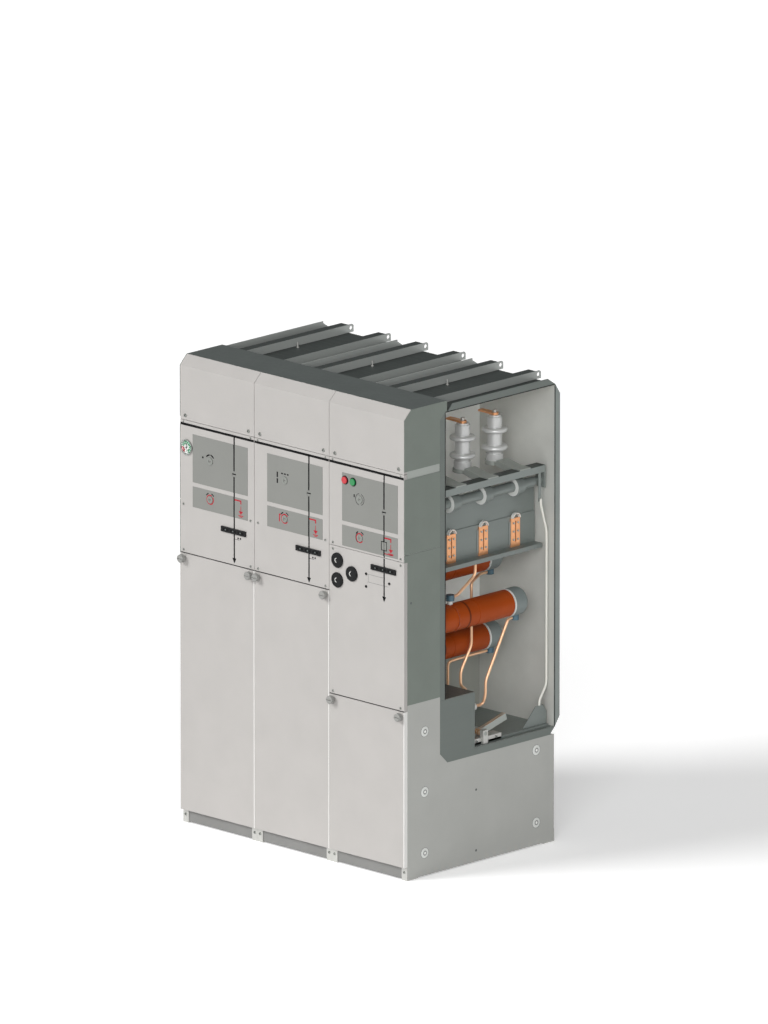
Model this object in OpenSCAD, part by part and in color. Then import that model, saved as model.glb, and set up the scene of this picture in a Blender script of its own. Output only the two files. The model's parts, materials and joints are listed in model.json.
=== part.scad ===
// Three-module gas-insulated ring main unit: two cable-switch modules and a fused-switch module.
// X runs along the front, Y from the front to the rear, Z up from the floor. Millimetres.

/* [Unit] */
// Width of one module
module_w = 420; // [400:1:460]
// Depth from the face of the front covers to the rear flange
unit_depth = 881; // [870:1:920]
// Height to the top of the hood
unit_h = 1932; // [1926:1:1960]
// Gap between neighbouring front covers
seam = 2; // [1:0.5:4]

/* [Sheet metal] */
// Thickness of the tank and frame walls
wall_t = 3; // [2:0.5:4]
// Thickness of covers and panels
cover_t = 2; // [1.5:0.5:3]
// Depth of the folded edge of covers and panels
cover_fold = 18; // [14:1:24]
// Width of the front flange of an upright
upright_flange = 28; // [24:1:34]

/* [Front] */
// Height of the kick plates
kick_h = 56; // [45:1:70]
// Top of the short cable cover under the fuse panel
fuse_cover_top = 697; // [680:1:705]
// Height of the top covers
top_cover_h = 260; // [240:1:280]
// Height of the mimic panels of the cable-switch modules
mimic_h = 552; // [540:1:570]
// Height of the mimic panel above the fuse panel
short_mimic_h = 362; // [358:1:370]
// Height and depth of the sloped edge of the top covers
top_slope = 39; // [25:1:45]
// Depth of the hood behind the tank front
hood_lap = 11; // [6:1:14]
// Thickness of the mimic plates
plate_t = 1; // [0.5:0.5:2]

/* [Tank] */
// Outer face of the tank front
tank_front = 229; // [225:1:240]
// Outer face of the step above the cable space
step_y = 396; // [380:1:410]
// Underside of the tank above the cable space
step_z = 703; // [695:1:715]
// Underside of the tank
tank_bottom = 473; // [465:1:480]
// Height of the hood above the tank roof
hood_rise = 45; // [42:1:52]
// Width of the flange round each tank wall
flange_w = 28; // [24:1:30]
// Length of the sloped ends of the flange
flange_mitre = 42; // [30:1:50]
// Height of the lifting channels
channel_h = 33; // [30:1:38]
// Width of the top of a lifting channel
channel_w = 42; // [30:1:60]
// Radius of a lifting hole
lift_hole_r = 8; // [6:0.5:9]

/* [Base] */
// Top of the base walls beside the cable space
base_top = 722; // [715:1:730]
// Thickness of the floor tabs of the foot brackets
foot_t = 5; // [4:1:8]
// Length of a floor tab
foot_l = 60; // [50:1:80]
// Width of a foot bracket
foot_w = 30; // [26:1:36]
// Radius of a floor bolt hole
foot_hole_r = 7; // [5:0.5:8]

/* [Switch and fuses] */
// Distance between phases along the depth
phase_pitch = 182; // [174:1:186]
// Radius of the switch shaft
shaft_r = 21; // [19:1:26]
// Radius of the shaft collars
collar_r = 39; // [36:1:42]
// Radius of a fuse canister
fuse_r = 55; // [48:1:58]
// Distance between cable bushings along the front
bushing_pitch = 105; // [95:1:115]
// Radius of the copper leads
lead_r = 6; // [4:0.5:8]

/* [Controls] */
// Radius of a cover knob
knob_r = 16.5; // [14:0.5:20]
// How far a cover knob stands out of its cover
knob_proud = 25; // [18:1:32]
// Radius of a drive hub
hub_r = 15; // [12:0.5:18]
// Radius of a hub shaft
hub_shaft_r = 10; // [7:0.5:11]
// Radius of a push-button
button_r = 14; // [10:0.5:16]
// Radius of a position indicator
indicator_r = 11.5; // [9:0.5:14]
// Radius of the pressure gauge
gauge_r = 32; // [26:1:32]

/* [Clearances] */
// Radial running fit of shafts and pins
run_fit = 0.05; // [0.02:0.01:0.1]
// Gap between pieces that stay apart
gap = 0.4; // [0.3:0.1:0.8]

/* [Hidden] */
$fn = 48;

// Colours
light_grey = "#CBC8C5";
side_grey = "#6F7770";
tank_grey = "#9A9C98";
base_grey = "#9E9F9A";
copper = "#E59A66";

// Module walls, counted from the left
module_count = 3;
half_w = module_count * module_w / 2;
last = module_count - 1;
function centre(i) = (i - last / 2) * module_w;
function wall_mid(i) = -half_w + i * module_w;
function wall_x0(i) = i == 0 ? -half_w : i == module_count ? half_w - wall_t : wall_mid(i) - wall_t / 2;
function wall_x1(i) = wall_x0(i) + wall_t;

// Planes of the frame
mimic_top = unit_h - top_cover_h;
cable_cover_top = mimic_top - mimic_h;
fuse_panel_top = mimic_top - short_mimic_h;
tank_top = unit_h - hood_rise;
hood_rear = tank_front + hood_lap;
flange_front = tank_front - flange_w;
tank_rear = unit_depth - flange_w;
flange_bottom = tank_bottom - flange_w;
base_inset = 4;
base_rear = tank_rear - base_inset;
slope_tan = tan(22.5);
side_inset = cover_t + seam / 2;

// Controls, as offsets from the module centre and from the top of the mimic panels
hub_dx = -38;
load_drop = 146;
earth_drop = 304;
line_dx = 97;
indicator_drop = 174;
plate_dx = [-137, 173];
load_plate_drop = [250, 52];
earth_plate_drop = [352, 267];
load_z = mimic_top - load_drop;
earth_z = mimic_top - earth_drop;
indicator_z = mimic_top - indicator_drop;
load_plate_z = [for (d = load_plate_drop) mimic_top - d];
earth_plate_z = [for (d = earth_plate_drop) mimic_top - d];
knob_side = 21;
knob_dx = module_w / 2 - knob_side;
knob_drop = 20;
stud_r = 5;
stud_l = 30;
button_dx = [-120, -75];
button_drop = 81;
button_z = mimic_top - button_drop;
button_stem_r = 6;
button_travel = 6;
gauge_side = 40;
gauge_dx = gauge_side - module_w / 2;
gauge_drop = 111;
gauge_z = mimic_top - gauge_drop;
gauge_proud = 6;
drive_front = 40;
drive_plate_t = 6;
indicator_stem_r = 4;

// Switch and fuses, in the open tank of the right-hand module
tank_x = centre(last);
phase_mid = (tank_front + tank_rear) / 2;
phases = [for (k = [-1:1]) phase_mid + k * phase_pitch];
pole_drop = 325;
pole_top = tank_top - pole_drop;
pole_w = 60;
pole_t = 16;
rail_dx = [121, 172];
rail_drop = [40, 12];
rail_z = [for (d = rail_drop) pole_top - d];
end_gap = 15;
rail_end = tank_rear - end_gap;
shaft_dx = 145;
shaft_drop = 77;
shaft_z = pole_top - shaft_drop;
journal_r = 18;
web_dx = 105;
web_drop = [337, 112];
web_z = [for (d = web_drop) pole_top - d];
web_lip = [46, 18];
board_t = 4;
board_h = 128;
contact_w = 50;
contact_h = 118;
contact_z = [web_z[0], web_z[0] + contact_h];
contact_t = 6;
floor_z = tank_bottom + wall_t;

// Fuse canisters, spread between the step of the tank and the web
fuse_dx = [-20, 120, -20];
fuse_low = 138;
fuse_head = 60;
fuse_pitch = (web_z[0] - fuse_head - step_z - fuse_low) / 2;
fuse_z = [for (k = [2:-1:0]) step_z + fuse_low + k * fuse_pitch];
fuse_out = 119;
fuse_front = tank_front - fuse_out;
fuse_end_gap = 182;
fuse_rear = tank_rear - fuse_end_gap;
fuse_cap_l = 76;
fuse_lead_in = 120;
fuse_lead_y = tank_front + fuse_lead_in;
clamp_r = 17;
clamp_h = 20;

// Cable bushings and earthing switch
bushing_drop = 98;
bushing_z = step_z - bushing_drop;
bushing_out = 150;
bushing_in = 105;
earth_side = 45;
earth_x = tank_x + module_w / 2 - earth_side;
pivot_in = 74;
pivot_up = 45;
earth_pivot = [step_y + pivot_in, tank_bottom + pivot_up];
knife_l = 150;
knife_tilt = 15;
knife_pin_r = 8;

// Places the unit so that its origin is under the middle of its bounding box
module place() {
    translate([0, (knob_proud - unit_depth) / 2, 0]) children();
}

// A flat outline in Y and Z, given thickness along X
module slab_x(x0, x1) {
    translate([x0, 0, 0]) rotate([90, 0, 90]) linear_extrude(x1 - x0) children();
}

// A flat outline in X and Z, given thickness along Y
module slab_y(y0, y1) {
    translate([0, y1, 0]) rotate([90, 0, 0]) linear_extrude(y1 - y0) children();
}

// A box between two corners
module block(low, high) {
    translate(low) cube(high - low);
}

// A round bar along Y
module bar_y(x, z, r, y0, y1) {
    translate([x, y0, z]) rotate([-90, 0, 0]) cylinder(r = r, h = y1 - y0);
}

// A folded sheet panel, open at the rear
module tray(x0, x1, z0, z1) {
    difference() {
        block([x0, 0, z0], [x1, cover_fold, z1]);
        block([x0 + cover_t, cover_t, z0 + cover_t], [x1 - cover_t, cover_fold + 1, z1 - cover_t]);
    }
}

// A bent tube through a list of points, with rounded bends
function unit(v) = v / norm(v);
function bend(a, p, b, size) = [
    for (t = [0:0.25:1])
        let (d = min(size, norm(a - p) / 2.2, norm(b - p) / 2.2))
        let (q = p + d * unit(a - p), s = p + d * unit(b - p))
        (1 - t) * (1 - t) * q + 2 * t * (1 - t) * p + t * t * s
];
function rounded(p, d) = [
    p[0],
    for (i = [1:len(p) - 2]) each bend(p[i - 1], p[i], p[i + 1], d),
    p[len(p) - 1]
];
function heading(p, i) = unit(p[min(i + 1, len(p) - 1)] - p[max(i - 1, 0)]);
module tube(points, r, d = 20, sides = 10) {
    path = rounded(points, d);
    guide = unit([1, 1, 0.4]);
    rings = [
        for (i = [0:len(path) - 1])
            let (h = heading(path, i), u = unit(cross(h, guide)), w = cross(h, u))
            for (k = [0:sides - 1])
                path[i] + r * (cos(k * 360 / sides) * u + sin(k * 360 / sides) * w)
    ];
    last_ring = (len(path) - 1) * sides;
    sides_faces = [
        for (i = [0:len(path) - 2])
            for (k = [0:sides - 1])
                let (a = i * sides + k, b = i * sides + (k + 1) % sides)
                [a, b, b + sides, a + sides]
    ];
    start_face = [[for (k = [sides - 1:-1:0]) k]];
    end_face = [[for (k = [0:sides - 1]) last_ring + k]];
    polyhedron(rings, concat(sides_faces, start_face, end_face));
}

// Inner faces of the tank, stepped above the cable space
front_edge = tank_front + wall_t;
rear_edge = tank_rear - wall_t;
roof_edge = tank_top - wall_t;
step_edge = [step_y + wall_t, step_z + wall_t];

// Welded plates of a tank, as Y and Z limits: front, roof, rear, floor, riser and tread of the step
tank_plates = [
    [[tank_front, step_z], [front_edge, tank_top]],
    [[front_edge + run_fit, roof_edge], [rear_edge - run_fit, tank_top]],
    [[rear_edge, tank_bottom], [tank_rear, tank_top]],
    [[step_y, tank_bottom], [rear_edge - run_fit, floor_z]],
    [[step_y, floor_z + run_fit], [step_edge[0], step_z - run_fit]],
    [[front_edge + run_fit, step_z], step_edge]
];

// Outline of a tank wall with its flange and mitred corners
flange_outline = [
    [flange_front, flange_bottom + flange_mitre],
    [flange_front, tank_top - flange_w],
    [tank_front, tank_top],
    [tank_front + flange_w / 2, tank_top],
    [tank_front + 1.5 * flange_w, tank_top + flange_w],
    [tank_rear - flange_mitre, tank_top + flange_w],
    [tank_rear, tank_top],
    [unit_depth, tank_top - flange_mitre],
    [unit_depth, tank_bottom + flange_mitre],
    [tank_rear, tank_bottom],
    [tank_rear - flange_w, flange_bottom],
    [flange_front + flange_mitre, flange_bottom]
];

// Outline of a front upright, behind the folded edges of the covers
upright_outline = [
    [cover_fold, base_top],
    [cover_fold, unit_h - top_slope - slope_tan * cover_fold],
    [top_slope, unit_h - sqrt(2) * cover_fold],
    [top_slope, unit_h - cover_t],
    [hood_rear - cover_t, unit_h - cover_t],
    [hood_rear - cover_t, tank_top],
    [tank_front, tank_top],
    [flange_front, tank_top - flange_w],
    [flange_front, base_top]
];

// Outline of the side skin: flush with the front above step_up, behind the cover edge below it
function skin_outline(step_up) = [
    [cover_fold, base_top],
    [cover_fold, step_up],
    [0, step_up],
    [0, unit_h - top_slope],
    [top_slope, unit_h],
    [hood_rear, unit_h],
    [hood_rear, tank_top],
    [tank_front, tank_top],
    [flange_front, tank_top - flange_w],
    [flange_front, base_top]
];

// Base
module foot(dx, side) {
    x0 = side > 0 ? dx - foot_w : dx;
    difference() {
        union() {
            block([x0, cover_fold - wall_t, 0], [x0 + foot_w, cover_fold + foot_l, foot_t]);
            block([x0, cover_fold - wall_t, 0], [x0 + foot_w, cover_fold, kick_h - seam]);
        }
        translate([x0 + foot_w / 2, cover_fold + foot_l / 2, -1])
            cylinder(r = foot_hole_r, h = foot_t + 2);
    }
}

module foot_brackets() {
    color("#D5D5D0")
    for (i = [0:last])
        for (side = [-1, 1])
            let (dx = wall_mid(side > 0 ? i + 1 : i) - side * gap / 2) {
                foot(dx, side);
                translate([0, cover_fold + base_rear, 0]) mirror([0, 1, 0]) foot(dx, side);
            }
}

module kick_plates() {
    color("#9B9B99")
    for (i = [0:last])
        block([wall_x1(i), cover_fold, foot_t], [wall_x0(i + 1), cover_fold + cover_t, kick_h]);
}

// Bolt and plug holes of the base walls in Y and Z
plug_front = 115;
plug_inset = 101;
plug_back = base_rear - plug_inset;
plug_yz = [[plug_front, 598], [plug_front, 349], [plug_front, 97], [plug_back, 397], [plug_back, 97]];
plug_r = 13;
plug_stem_r = 8;
plug_proud = 2;

module base_wall_plate(i) {
    difference() {
        slab_x(wall_x0(i), wall_x1(i)) polygon([
            [cover_fold, foot_t],
            [base_rear, foot_t],
            [base_rear, flange_bottom],
            [flange_front + flange_mitre, flange_bottom],
            [flange_front, flange_bottom + flange_mitre],
            [flange_front, base_top],
            [cover_fold, base_top]
        ]);
        if (i == 0 || i == module_count)
            for (p = plug_yz)
                translate([wall_x0(i) - 1, p[0], p[1]]) rotate([0, 90, 0])
                    cylinder(r = plug_stem_r + gap, h = wall_t + 2);
    }
}

// Front flanges welded to a wall, on the sides that face a module, with their stud holes
module front_flange(i, x0, x1, z0, z1, holes) {
    difference() {
        union() {
            if (i > 0)
                block([x0 - upright_flange, cover_fold, z0], [x0 - run_fit, cover_fold + wall_t, z1]);
            if (i < module_count)
                block([x1 + run_fit, cover_fold, z0], [x1 + upright_flange, cover_fold + wall_t, z1]);
        }
        for (h = holes)
            bar_y(h[0], h[1], stud_r + run_fit, cover_fold - 1, cover_fold + wall_t + 1);
    }
}

// Stud places of the knobs, left and right of each module
function cover_top(i) = i == last ? fuse_cover_top : cable_cover_top;
knob_xz = [
    for (i = [0:last])
        for (side = [-1, 1])
            [centre(i) + side * knob_dx, cover_top(i) - knob_drop]
];
low_studs = [for (k = knob_xz) if (k[1] < base_top) k];
high_studs = [for (k = knob_xz) if (k[1] > base_top) k];

module base_walls() {
    color(base_grey)
    for (i = [0:module_count]) {
        base_wall_plate(i);
        front_flange(i, wall_x0(i), wall_x1(i), kick_h, base_top, low_studs);
    }
}

module base_rear_panels() {
    color(base_grey)
    for (i = [0:last])
        block([wall_x1(i), base_rear - cover_t, foot_t], [wall_x0(i + 1), base_rear, flange_bottom - seam]);
}

module side_plugs() {
    color("#D8D8D4")
    for (side = [-1, 1])
        for (p = plug_yz)
            translate([side * half_w, p[0], p[1]]) rotate([0, side * 90, 0]) {
                cylinder(r1 = plug_r, r2 = plug_r - plug_proud, h = plug_proud);
                translate([0, 0, -wall_t - cover_t]) cylinder(r = plug_stem_r, h = wall_t + cover_t);
            }
}

// Tank
module tank_shell(i) {
    for (t = tank_plates)
        block([wall_x1(i), t[0][0], t[0][1]], [wall_x0(i + 1), t[1][0], t[1][1]]);
}

module bushing_holes(i) {
    for (k = [-1:1])
        bar_y(centre(i) + k * bushing_pitch, bushing_z, bushing_r + gap, step_y - 1, step_y + wall_t + 1);
}

module sealed_tanks() {
    color(tank_grey)
    for (i = [0:last - 1])
        difference() {
            tank_shell(i);
            bushing_holes(i);
        }
}

module open_tank() {
    color(tank_grey)
    difference() {
        tank_shell(last);
        bushing_holes(last);
        for (k = [0:2])
            bar_y(tank_x + fuse_dx[k], fuse_z[k], fuse_r + gap, tank_front - 1, tank_front + wall_t + 1);
        bar_y(tank_x + shaft_dx, shaft_z, journal_r + run_fit, tank_front - 1, tank_front + wall_t + 1);
    }
}

module tank_walls() {
    color("#7C8480")
    for (i = [0:last])
        slab_x(wall_x0(i), wall_x1(i)) polygon(flange_outline);
}

// Strips of the open flange, as Y and Z limits, with a weld gap between neighbours
flange_strips = [
    [[flange_front, flange_bottom], step_edge],
    [[flange_front, step_edge[1] + gap], [front_edge, unit_h]],
    [[front_edge + gap, roof_edge], [rear_edge, unit_h]],
    [[rear_edge + gap, flange_bottom], [unit_depth, unit_h]],
    [[step_edge[0] + gap, flange_bottom], [rear_edge, floor_z]]
];

module tank_end_flange() {
    color("#7C8480")
    for (f = flange_strips)
        slab_x(wall_x0(module_count), wall_x1(module_count))
            intersection() {
                polygon(flange_outline);
                translate(f[0]) square(f[1] - f[0]);
            }
}

// Angle along the roof, with a lifting hole in its rounded end past the rear of the tank
eye_edge = 15;
eye_round = 10;

module lifting_channel(x) {
    channel_l = unit_depth - hood_rear - 2 * seam;
    difference() {
        slab_x(x - wall_t, x)
            translate([hood_rear + seam, tank_top])
                union() {
                    square([channel_l - eye_round, channel_h]);
                    square([channel_l, channel_h - eye_round]);
                    translate([channel_l - eye_round, channel_h - eye_round]) circle(r = eye_round);
                }
        translate([x - wall_t - 1, unit_depth - seam - eye_edge, tank_top + channel_h - eye_edge])
            rotate([0, 90, 0]) cylinder(r = lift_hole_r, h = wall_t + 2);
    }
    block(
        [x - channel_w, hood_rear + seam, tank_top + channel_h - wall_t],
        [x - wall_t - run_fit, tank_rear - seam, tank_top + channel_h]
    );
}

module lifting_channels() {
    color(side_grey)
    for (i = [0:last])
        for (side = [-1, 1])
            lifting_channel(centre(i) + side * module_w / 4);
}

// Front compartment
module hood() {
    color("#555D5B")
    union() {
        block(
            [cover_t - half_w, top_slope + gap, unit_h - cover_t],
            [half_w - cover_t, hood_rear, unit_h]
        );
        block(
            [cover_t - half_w, hood_rear - cover_t, unit_h - cover_fold],
            [half_w - cover_t, hood_rear, unit_h - cover_t]
        );
    }
}

function upright_x0(i) =
    i == 0 ? cover_t - half_w : i == module_count ? half_w - cover_t - wall_t : wall_x0(i);

module front_uprights() {
    color("#A0A5A0")
    for (i = [0:module_count])
        let (x0 = upright_x0(i), x1 = x0 + wall_t) {
            slab_x(x0, x1) polygon(upright_outline);
            front_flange(i, x0, x1, base_top, mimic_top, high_studs);
        }
}

// Side skins in three bands, with a bare strip of the upright between the upper two
strip_h = 32;
strip_drop = 22;
strip_z = mimic_top - strip_drop;
skin_rise = 30;
skin_split = fuse_panel_top + skin_rise;
skin_bands = [[base_top, skin_split], [skin_split + seam, strip_z], [strip_z + strip_h, unit_h]];

module side_skin(step_up) {
    for (b = skin_bands)
        slab_x(0, cover_t)
            intersection() {
                polygon(skin_outline(step_up));
                translate([0, b[0]]) square([hood_rear, b[1] - b[0]]);
            }
}

module side_covers() {
    color(side_grey) {
        translate([-half_w, 0, 0]) side_skin(cable_cover_top);
        translate([half_w - cover_t, 0, 0]) side_skin(fuse_panel_top);
    }
}

function panel_x0(i, outer) = wall_mid(i) + (i == 0 ? outer : seam / 2);
function panel_x1(i, outer) = wall_mid(i + 1) - (i == last ? outer : seam / 2);

// Folded cover with a sloped upper edge
module top_cover(x0, x1) {
    z0 = mimic_top;
    z1 = unit_h - top_slope;
    difference() {
        slab_x(x0, x1) polygon([
            [0, z0],
            [0, z1],
            [top_slope, unit_h],
            [top_slope, unit_h - sqrt(2) * cover_fold],
            [cover_fold, z1 - slope_tan * cover_fold],
            [cover_fold, z0]
        ]);
        slab_x(x0 + cover_t, x1 - cover_t) polygon([
            [cover_t, z0 + cover_t],
            [cover_t, z1 - slope_tan * cover_t],
            [top_slope + 1, unit_h - sqrt(2) * cover_t + 1],
            [top_slope + 1, z0 + cover_t]
        ]);
    }
}

module top_covers() {
    color(light_grey)
    for (i = [0:last])
        top_cover(panel_x0(i, side_inset), panel_x1(i, side_inset));
}

// Holes of a mimic panel for its controls
module control_holes(i) {
    bar_y(centre(i) + hub_dx, load_z, hub_r + gap, -10, cover_fold);
    bar_y(centre(i) + hub_dx, earth_z, hub_r + gap, -10, cover_fold);
    bar_y(centre(i) + line_dx, indicator_z, indicator_r + gap, -10, cover_fold);
    if (i == last)
        for (dx = button_dx)
            bar_y(centre(i) + dx, button_z, button_r + gap, -10, cover_fold);
}

function mimic_bottom(i) = (i == last ? fuse_panel_top : cable_cover_top) + seam;

module mimic_panel(i) {
    color(light_grey)
    difference() {
        tray(panel_x0(i, side_inset), panel_x1(i, side_inset), mimic_bottom(i), mimic_top - seam);
        control_holes(i);
        if (i == 0)
            bar_y(centre(i) + gauge_dx, gauge_z, gauge_stem_r + gap, -1, cover_fold);
    }
}

// Capped sockets of the fuse panel, as X offsets and heights
plug_side = [47.5, 47.5, 128];
plug_dx = [for (d = plug_side) d - module_w / 2];
plug_drop = [56, 137, 97];
plug_z = [for (d = plug_drop) fuse_panel_top - d];
cap_edge = 2;
cap_r = 31;
cap_proud = 7;
cap_stem_r = 15;

module fuse_panel() {
    color(light_grey)
    difference() {
        tray(panel_x0(last, seam / 2), panel_x1(last, seam / 2), fuse_cover_top + seam, fuse_panel_top);
        for (k = [0:2])
            bar_y(tank_x + plug_dx[k], plug_z[k], cap_stem_r + gap, -1, cover_fold);
    }
}

module phase_plugs() {
    color("#1B1B1C")
    for (k = [0:2])
        translate([tank_x + plug_dx[k], 0, plug_z[k]]) rotate([90, 0, 0]) rotate_extrude() polygon([
            [0, -cover_fold - cover_t],
            [cap_stem_r, -cover_fold - cover_t],
            [cap_stem_r, 0],
            [cap_r, 0],
            [cap_r, cap_proud - cap_edge],
            [cap_r - cap_edge, cap_proud],
            [0, cap_proud]
        ]);
}

module mimic_plates() {
    color("#999B95")
    for (i = [0:last])
        for (z = [load_plate_z, earth_plate_z])
            difference() {
                block([centre(i) + plate_dx[0], -plate_t, z[0]], [centre(i) + plate_dx[1], 0, z[1]]);
                control_holes(i);
            }
}

// Voltage indicators, as X offsets from the line of the mimic diagram
lamp_dx = [-71, 67];
lamp_h = 22;
lamp_drop = 398;
lamp_proud = 6;

module voltage_indicators() {
    z = mimic_top - lamp_drop;
    color("#18181A")
    for (i = [0:last])
        let (x = centre(i) + line_dx)
        block([x + lamp_dx[0], -lamp_proud, z - lamp_h], [x + lamp_dx[1], 0, z]);
}

// Pressure gauge
gauge_rim = 3;
gauge_step = 2;
gauge_stem_r = 12;
needle_pin_r = 2;
needle_half = 1.5;
needle_l = 23;
needle_tail = 8;
needle_t = 1;
glass_t = 1;
dial_y = -1.5;

module gauge_place() {
    translate([centre(0) + gauge_dx, 0, gauge_z]) children();
}

module gauge_case() {
    color("#B8BAB8")
    gauge_place()
    difference() {
        union() {
            bar_y(0, 0, gauge_r, -gauge_proud, 0);
            bar_y(0, 0, gauge_stem_r, -cover_t, cover_fold);
        }
        bar_y(0, 0, gauge_r - gauge_rim, -gauge_proud - 1, glass_t - gauge_proud);
        bar_y(0, 0, gauge_r - gauge_rim - gauge_step, -gauge_proud - 1, dial_y);
        bar_y(0, 0, needle_pin_r + run_fit, dial_y - 1, cover_fold / 2);
    }
}

module gauge_glass() {
    color("#DDEEEE", 0.3)
    gauge_place() bar_y(0, 0, gauge_r - gauge_rim - run_fit, -gauge_proud, glass_t - gauge_proud);
}

module gauge_needle() {
    color("#202020")
    gauge_place()
    union() {
        bar_y(0, 0, needle_pin_r, dial_y - 2 * needle_t, cover_fold / 2 - 1);
        bar_y(0, 0, 2 * needle_pin_r, dial_y - 2 * needle_t, dial_y - needle_t);
        slab_y(dial_y - 2 * needle_t, dial_y - needle_t) polygon([
            [-needle_half, -needle_tail],
            [needle_half, -needle_tail],
            [needle_half / 2, needle_l - needle_half],
            [0, needle_l],
            [-needle_half / 2, needle_l - needle_half]
        ]);
    }
}

// Drive behind a mimic panel: two plates on pillars, with a spring can
drive_dx = [plate_dx[0] - 13, plate_dx[1] + 12];
drive_z = [earth_plate_z[0] + 10, load_plate_z[1] + 20];
drive_rear = tank_front - drive_plate_t;
drive_in = drive_front + drive_plate_t;
pillar_r = 10;
pillar_inset = 20;
spring_can_r = 38;
spring_can_dx = 60;
spring_can_up = 90;
spring_can_gap = 60;

module drive_plate(i, y) {
    c = centre(i);
    block([c + drive_dx[0], y, drive_z[0]], [c + drive_dx[1], y + drive_plate_t, drive_z[1]]);
}

module drive_front_plate(i) {
    c = centre(i);
    difference() {
        drive_plate(i, drive_front);
        for (z = [load_z, earth_z])
            bar_y(c + hub_dx, z, hub_shaft_r + run_fit, drive_front - 1, drive_in + 1);
        bar_y(c + line_dx, indicator_z, indicator_stem_r + run_fit, drive_front - 1, drive_in + 1);
        if (i == last)
            for (dx = button_dx)
                bar_y(c + dx, button_z, button_stem_r + run_fit, drive_front - 1, drive_in + 1);
    }
}

module drive_rear_plate(i) {
    difference() {
        drive_plate(i, drive_rear);
        if (i == last)
            bar_y(tank_x + shaft_dx, shaft_z, journal_r + run_fit, drive_rear - 1, tank_front + 1);
    }
}

module drive_units() {
    color("#8E9492")
    for (i = [0:last])
        let (c = centre(i)) {
            drive_front_plate(i);
            drive_rear_plate(i);
            for (x = [drive_dx[0] + pillar_inset, drive_dx[1] - pillar_inset])
                for (z = [drive_z[0] + pillar_inset, drive_z[1] - pillar_inset])
                    bar_y(c + x, z, pillar_r, drive_in + run_fit, drive_rear - run_fit);
            bar_y(
                c + spring_can_dx,
                drive_z[0] + spring_can_up,
                spring_can_r,
                drive_in + spring_can_gap,
                drive_rear - run_fit
            );
        }
}

// Operating hub with a hexagonal socket
hub_proud = 4;
hub_tail = 14;
socket_r = 8;
socket_depth = 14;

module hub(i, z) {
    difference() {
        union() {
            bar_y(centre(i) + hub_dx, z, hub_r, -hub_proud, cover_fold);
            bar_y(centre(i) + hub_dx, z, hub_shaft_r, 0, drive_front + drive_plate_t + hub_tail);
        }
        translate([centre(i) + hub_dx, -hub_proud - 1, z]) rotate([-90, 0, 0])
            cylinder(r = socket_r, h = socket_depth + 1, $fn = 6);
    }
}

module load_hub(i) {
    color("#3A3C3C") hub(i, load_z);
}

module earth_hub(i) {
    color("#B03A36") hub(i, earth_z);
}

module indicator(i) {
    color("#202020")
    union() {
        bar_y(centre(i) + line_dx, indicator_z, indicator_r, -plate_t / 2, cover_fold / 2);
        bar_y(centre(i) + line_dx, indicator_z, indicator_stem_r, 0, drive_front + drive_plate_t + 4);
    }
}

module button(dx, tint) {
    color(tint)
    union() {
        bar_y(tank_x + dx, button_z, button_r, -button_travel - plate_t - 1, cover_fold / 2);
        bar_y(tank_x + dx, button_z, button_stem_r, 0, drive_front + drive_plate_t + 2);
    }
}

module trip_button() {
    button(button_dx[0], "#C03038");
}

module close_button() {
    button(button_dx[1], "#2F9A55");
}

// Cable covers and their knobs
module cable_cover(i) {
    color(light_grey)
    difference() {
        tray(panel_x0(i, seam / 2), panel_x1(i, seam / 2), kick_h, cover_top(i));
        for (side = [-1, 1])
            bar_y(centre(i) + side * knob_dx, cover_top(i) - knob_drop, stud_r + run_fit, -1, cover_fold);
    }
}

knob_edge = 2.5;
knob_face_r = knob_r - knob_edge;
knob_neck_r = knob_face_r - 3;
knob_neck = [6, 9];
knob_slot = [2, 4];

module cover_knob(k) {
    color("#A0A09C")
    translate([knob_xz[k][0], 0, knob_xz[k][1]])
    difference() {
        rotate([90, 0, 0]) rotate_extrude() polygon([
            [0, -stud_l],
            [stud_r - 1, -stud_l],
            [stud_r, 1 - stud_l],
            [stud_r, gap],
            [knob_neck_r, gap],
            [knob_neck_r, knob_neck[0]],
            [knob_r, knob_neck[1]],
            [knob_r, knob_proud - knob_edge],
            [knob_face_r, knob_proud],
            [0, knob_proud]
        ]);
        block(
            [-knob_face_r, -knob_proud - 1, -knob_slot[0] / 2],
            [knob_face_r, knob_slot[1] - knob_proud, knob_slot[0] / 2]
        );
    }
}

// Switch in the open tank, with a strip under the rail that holds the sensing tube
hanger_w = 14;
hanger_in = 26;
hanger_up = 180;
journal_land = 10;

module switch_rail() {
    x0 = tank_x + rail_dx[0];
    x1 = tank_x + rail_dx[1];
    color("#6A716D")
    difference() {
        union() {
            block([x0, tank_front + wall_t, rail_z[1] - wall_t], [x1, rail_end, rail_z[1]]);
            for (x = [x0, x1 - wall_t])
                block([x, tank_front + wall_t, rail_z[0]], [x + wall_t, rail_end, rail_z[1]]);
            block(
                [x0, rail_end - 2 * wall_t, shaft_z - journal_r - journal_land],
                [x1, rail_end, rail_z[1]]
            );
            block(
                [x1 - wall_t, rail_end - hanger_in - hanger_w, web_z[0] + hanger_up],
                [x1, rail_end - hanger_in, rail_z[1]]
            );
        }
        bar_y(tank_x + shaft_dx, shaft_z, journal_r + run_fit, rail_end - 3 * wall_t, rail_end + 1);
    }
}

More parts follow.
